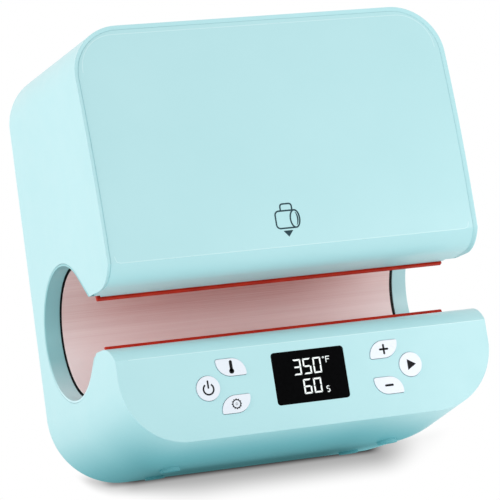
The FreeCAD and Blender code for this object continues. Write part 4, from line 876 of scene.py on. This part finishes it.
class StageMaterial:
    """White with a painted shadow to the camera, and something else to other rays."""

    def __init__(self, name):
        self.material = bpy.data.materials.new(name)
        self.material.use_nodes = True
        self.tree = self.material.node_tree
        self.tree.nodes.clear()
        self.camera_ray = self.node("LightPath").outputs["Is Camera Ray"]

    def node(self, kind):
        return self.tree.nodes.new("ShaderNode" + kind)

    def link(self, a, b):
        self.tree.links.new(a, b)

    def place(self):
        """X and Y on the stage, in metres."""
        split = self.node("SeparateXYZ")
        self.link(self.node("TexCoord").outputs["Object"], split.inputs[0])
        return split.outputs["X"], split.outputs["Y"]

    def math(self, kind, a, b=0.0):
        node = self.node("Math")
        node.operation = kind
        for value, slot in zip((a, b), node.inputs):
            if isinstance(value, (int, float)):
                slot.default_value = value
            else:
                self.link(value, slot)
        return node.outputs[0]

    def plus(self, a, b):
        return self.math("ADD", a, b)

    def minus(self, a, b):
        return self.math("SUBTRACT", a, b)

    def times(self, a, b):
        return self.math("MULTIPLY", a, b)

    def larger(self, a, b):
        return self.math("MAXIMUM", a, b)

    def squared(self, a, rate):
        """A squared, times a rate."""
        return self.times(self.math("POWER", a, 2.0), rate)

    def fade(self, value, start, stop, low, high):
        """Goes softly from low to high while the value goes from start to stop."""
        node = self.node("MapRange")
        node.interpolation_type = "SMOOTHSTEP"
        numbers = {"From Min": start, "From Max": stop, "To Min": low, "To Max": high}
        for key, number in numbers.items():
            node.inputs[key].default_value = number
        self.link(value, node.inputs["Value"])
        return node.outputs["Result"]

    def white(self, strength):
        """The white that the camera sees, at this strength."""
        node = self.node("Emission")
        node.inputs["Color"].default_value = (0.985, 0.985, 0.985, 1)
        self.link(strength, node.inputs["Strength"])
        return node.outputs[0]

    def glow(self, tint):
        """Light of one tint that the floor sends to the object."""
        node = self.node("Emission")
        node.inputs["Color"].default_value = (*tint, 1)
        node.inputs["Strength"].default_value = 1.0
        return node.outputs[0]

    def clear(self):
        return self.node("BsdfTransparent").outputs[0]

    def veil(self, light):
        """Darkens what lies behind it, as a shadow on white does."""
        node = self.node("BsdfTransparent")
        self.link(light, node.inputs["Color"])
        return node.outputs[0]

    def either(self, choice, a, b):
        node = self.node("MixShader")
        for value, slot in zip((choice, a, b), node.inputs):
            self.link(value, slot)
        return node.outputs[0]

    def finish(self, shader):
        """The shader on the front, and nothing from behind."""
        back = self.node("NewGeometry").outputs["Backfacing"]
        out = self.node("OutputMaterial")
        self.link(self.either(back, shader, self.clear()), out.inputs["Surface"])
        return self.material


def floor_material():
    """From above, white with a soft shadow round the base. To other rays, a light of its own."""
    s = StageMaterial("floor")
    x, y = s.place()
    wide = s.math("ABSOLUTE", x)
    deep = s.math("ABSOLUTE", s.minus(y, SHADE_Y))
    off = s.larger(s.minus(wide, SHADE_HALF), s.minus(deep, SHADE_DEEP))
    shade = s.times(s.fade(off, *SHADE_NEAR), s.fade(off, *SHADE_WIDE))
    away = s.larger(s.minus(wide, OPEN_HALF), s.minus(OPEN_Y, y))
    right = s.larger(s.minus(x, OPEN_RIGHT), 0.0)
    away = s.plus(away, s.times(right, OPEN_SOONER))
    lit = s.either(s.fade(away, *UNDER_TO_EDGE), s.glow(UNDER_GLOW), s.glow(EDGE_GLOW))
    lit = s.either(s.fade(away, *EDGE_TO_OPEN), lit, s.glow(OPEN_GLOW))
    return s.finish(s.either(s.camera_ray, lit, s.white(shade)))


def card_material():
    """Shadow below the base: a dark line along its edge, then a soft fall-off to white."""
    s = StageMaterial("card")
    x, y = s.place()
    depth = s.minus(EDGE_SEEN, y)
    across = s.plus(x, s.times(depth, CARD_SHIFT))
    left = s.larger(s.minus(LEFT_BEND, across), 0.0)
    right = s.larger(s.minus(across, RIGHT_BEND), 0.0)
    corners = s.plus(s.squared(left, LEFT_RATE), s.squared(right, RIGHT_RATE))
    down = s.plus(s.times(depth, CARD_ROWS), corners)
    short = s.larger(s.minus(SHORT_FROM, across), 0.0)
    short = s.math("MINIMUM", s.squared(short, SHORT_RATE), SHORT_MOST)
    wide = s.fade(s.times(down, s.plus(short, 1.0)), *WIDE_DOWN)
    wide = s.times(wide, s.fade(across, *WIDE_LEFT))
    wide = s.times(wide, s.fade(across, *WIDE_RIGHT))
    wide = s.times(wide, s.fade(depth, *WIDE_DEPTH))
    aside = s.math("ABSOLUTE", s.minus(across, DARK_LINE_X))
    line = s.times(s.fade(down, *LINE_DOWN), s.fade(aside, *LINE_ASIDE))
    dark = s.times(s.plus(line, wide), s.fade(down, *BOTH_DOWN))
    dark = s.times(dark, s.fade(depth, *BOTH_DEPTH))
    return s.finish(s.either(s.camera_ray, s.clear(), s.veil(s.minus(1.0, dark))))


def stage_plane(name, half, front, rear, low, high, material):
    """A plane across the whole stage, from its front edge to its rear edge."""
    corners = [(-half, front, low), (half, front, low), (half, rear, high), (-half, rear, high)]
    mesh = bpy.data.meshes.new(name)
    mesh.from_pydata(corners, [], [(0, 1, 2, 3)])
    mesh.materials.append(material)
    obj = bpy.data.objects.new(name, mesh)
    bpy.context.scene.collection.objects.link(obj)


def stage():
    """Floor for views from above, and a card that tips up behind the base for this low camera."""
    stage_plane("floor", FLOOR_HALF, -FLOOR_HALF, FLOOR_HALF, 0, 0, floor_material())
    slope = math.tan(math.radians(CARD_TILT))
    front, rear = BASE_REAR - CARD_AHEAD, BASE_REAR + CARD_BEHIND
    low, high = -CARD_AHEAD * slope, CARD_BEHIND * slope
    stage_plane("card", CARD_HALF, front, rear, low, high, card_material())


bpy.context.scene.view_settings.view_transform = "Standard"
dress_nodes()
soften("housing_shell upper_front_cover rear_cover", width=0.35, angle=12)
soften("left_tunnel_ring right_tunnel_ring", width=0.35, angle=12)
soften("key_power key_temperature key_timer key_plus key_minus key_start", width=0.35)
soften("upper_lip_strip lower_lip_strip", width=0.6)
key_symbols()
display_digits()
pictogram()
cover_rim()
painted_highlight_lines()
sleeve()
camera()
white_world(ambient=0.67)
area_light("key_light", at=(-2.6, -0.5, 1.3), aim=(0, 0, 0.15), size=1.6, power=25)
area_light("fill_light", at=(0.7, -0.8, 0.06), aim=(0.08, 0, 0.08), size=0.6, power=3.0)
stage()
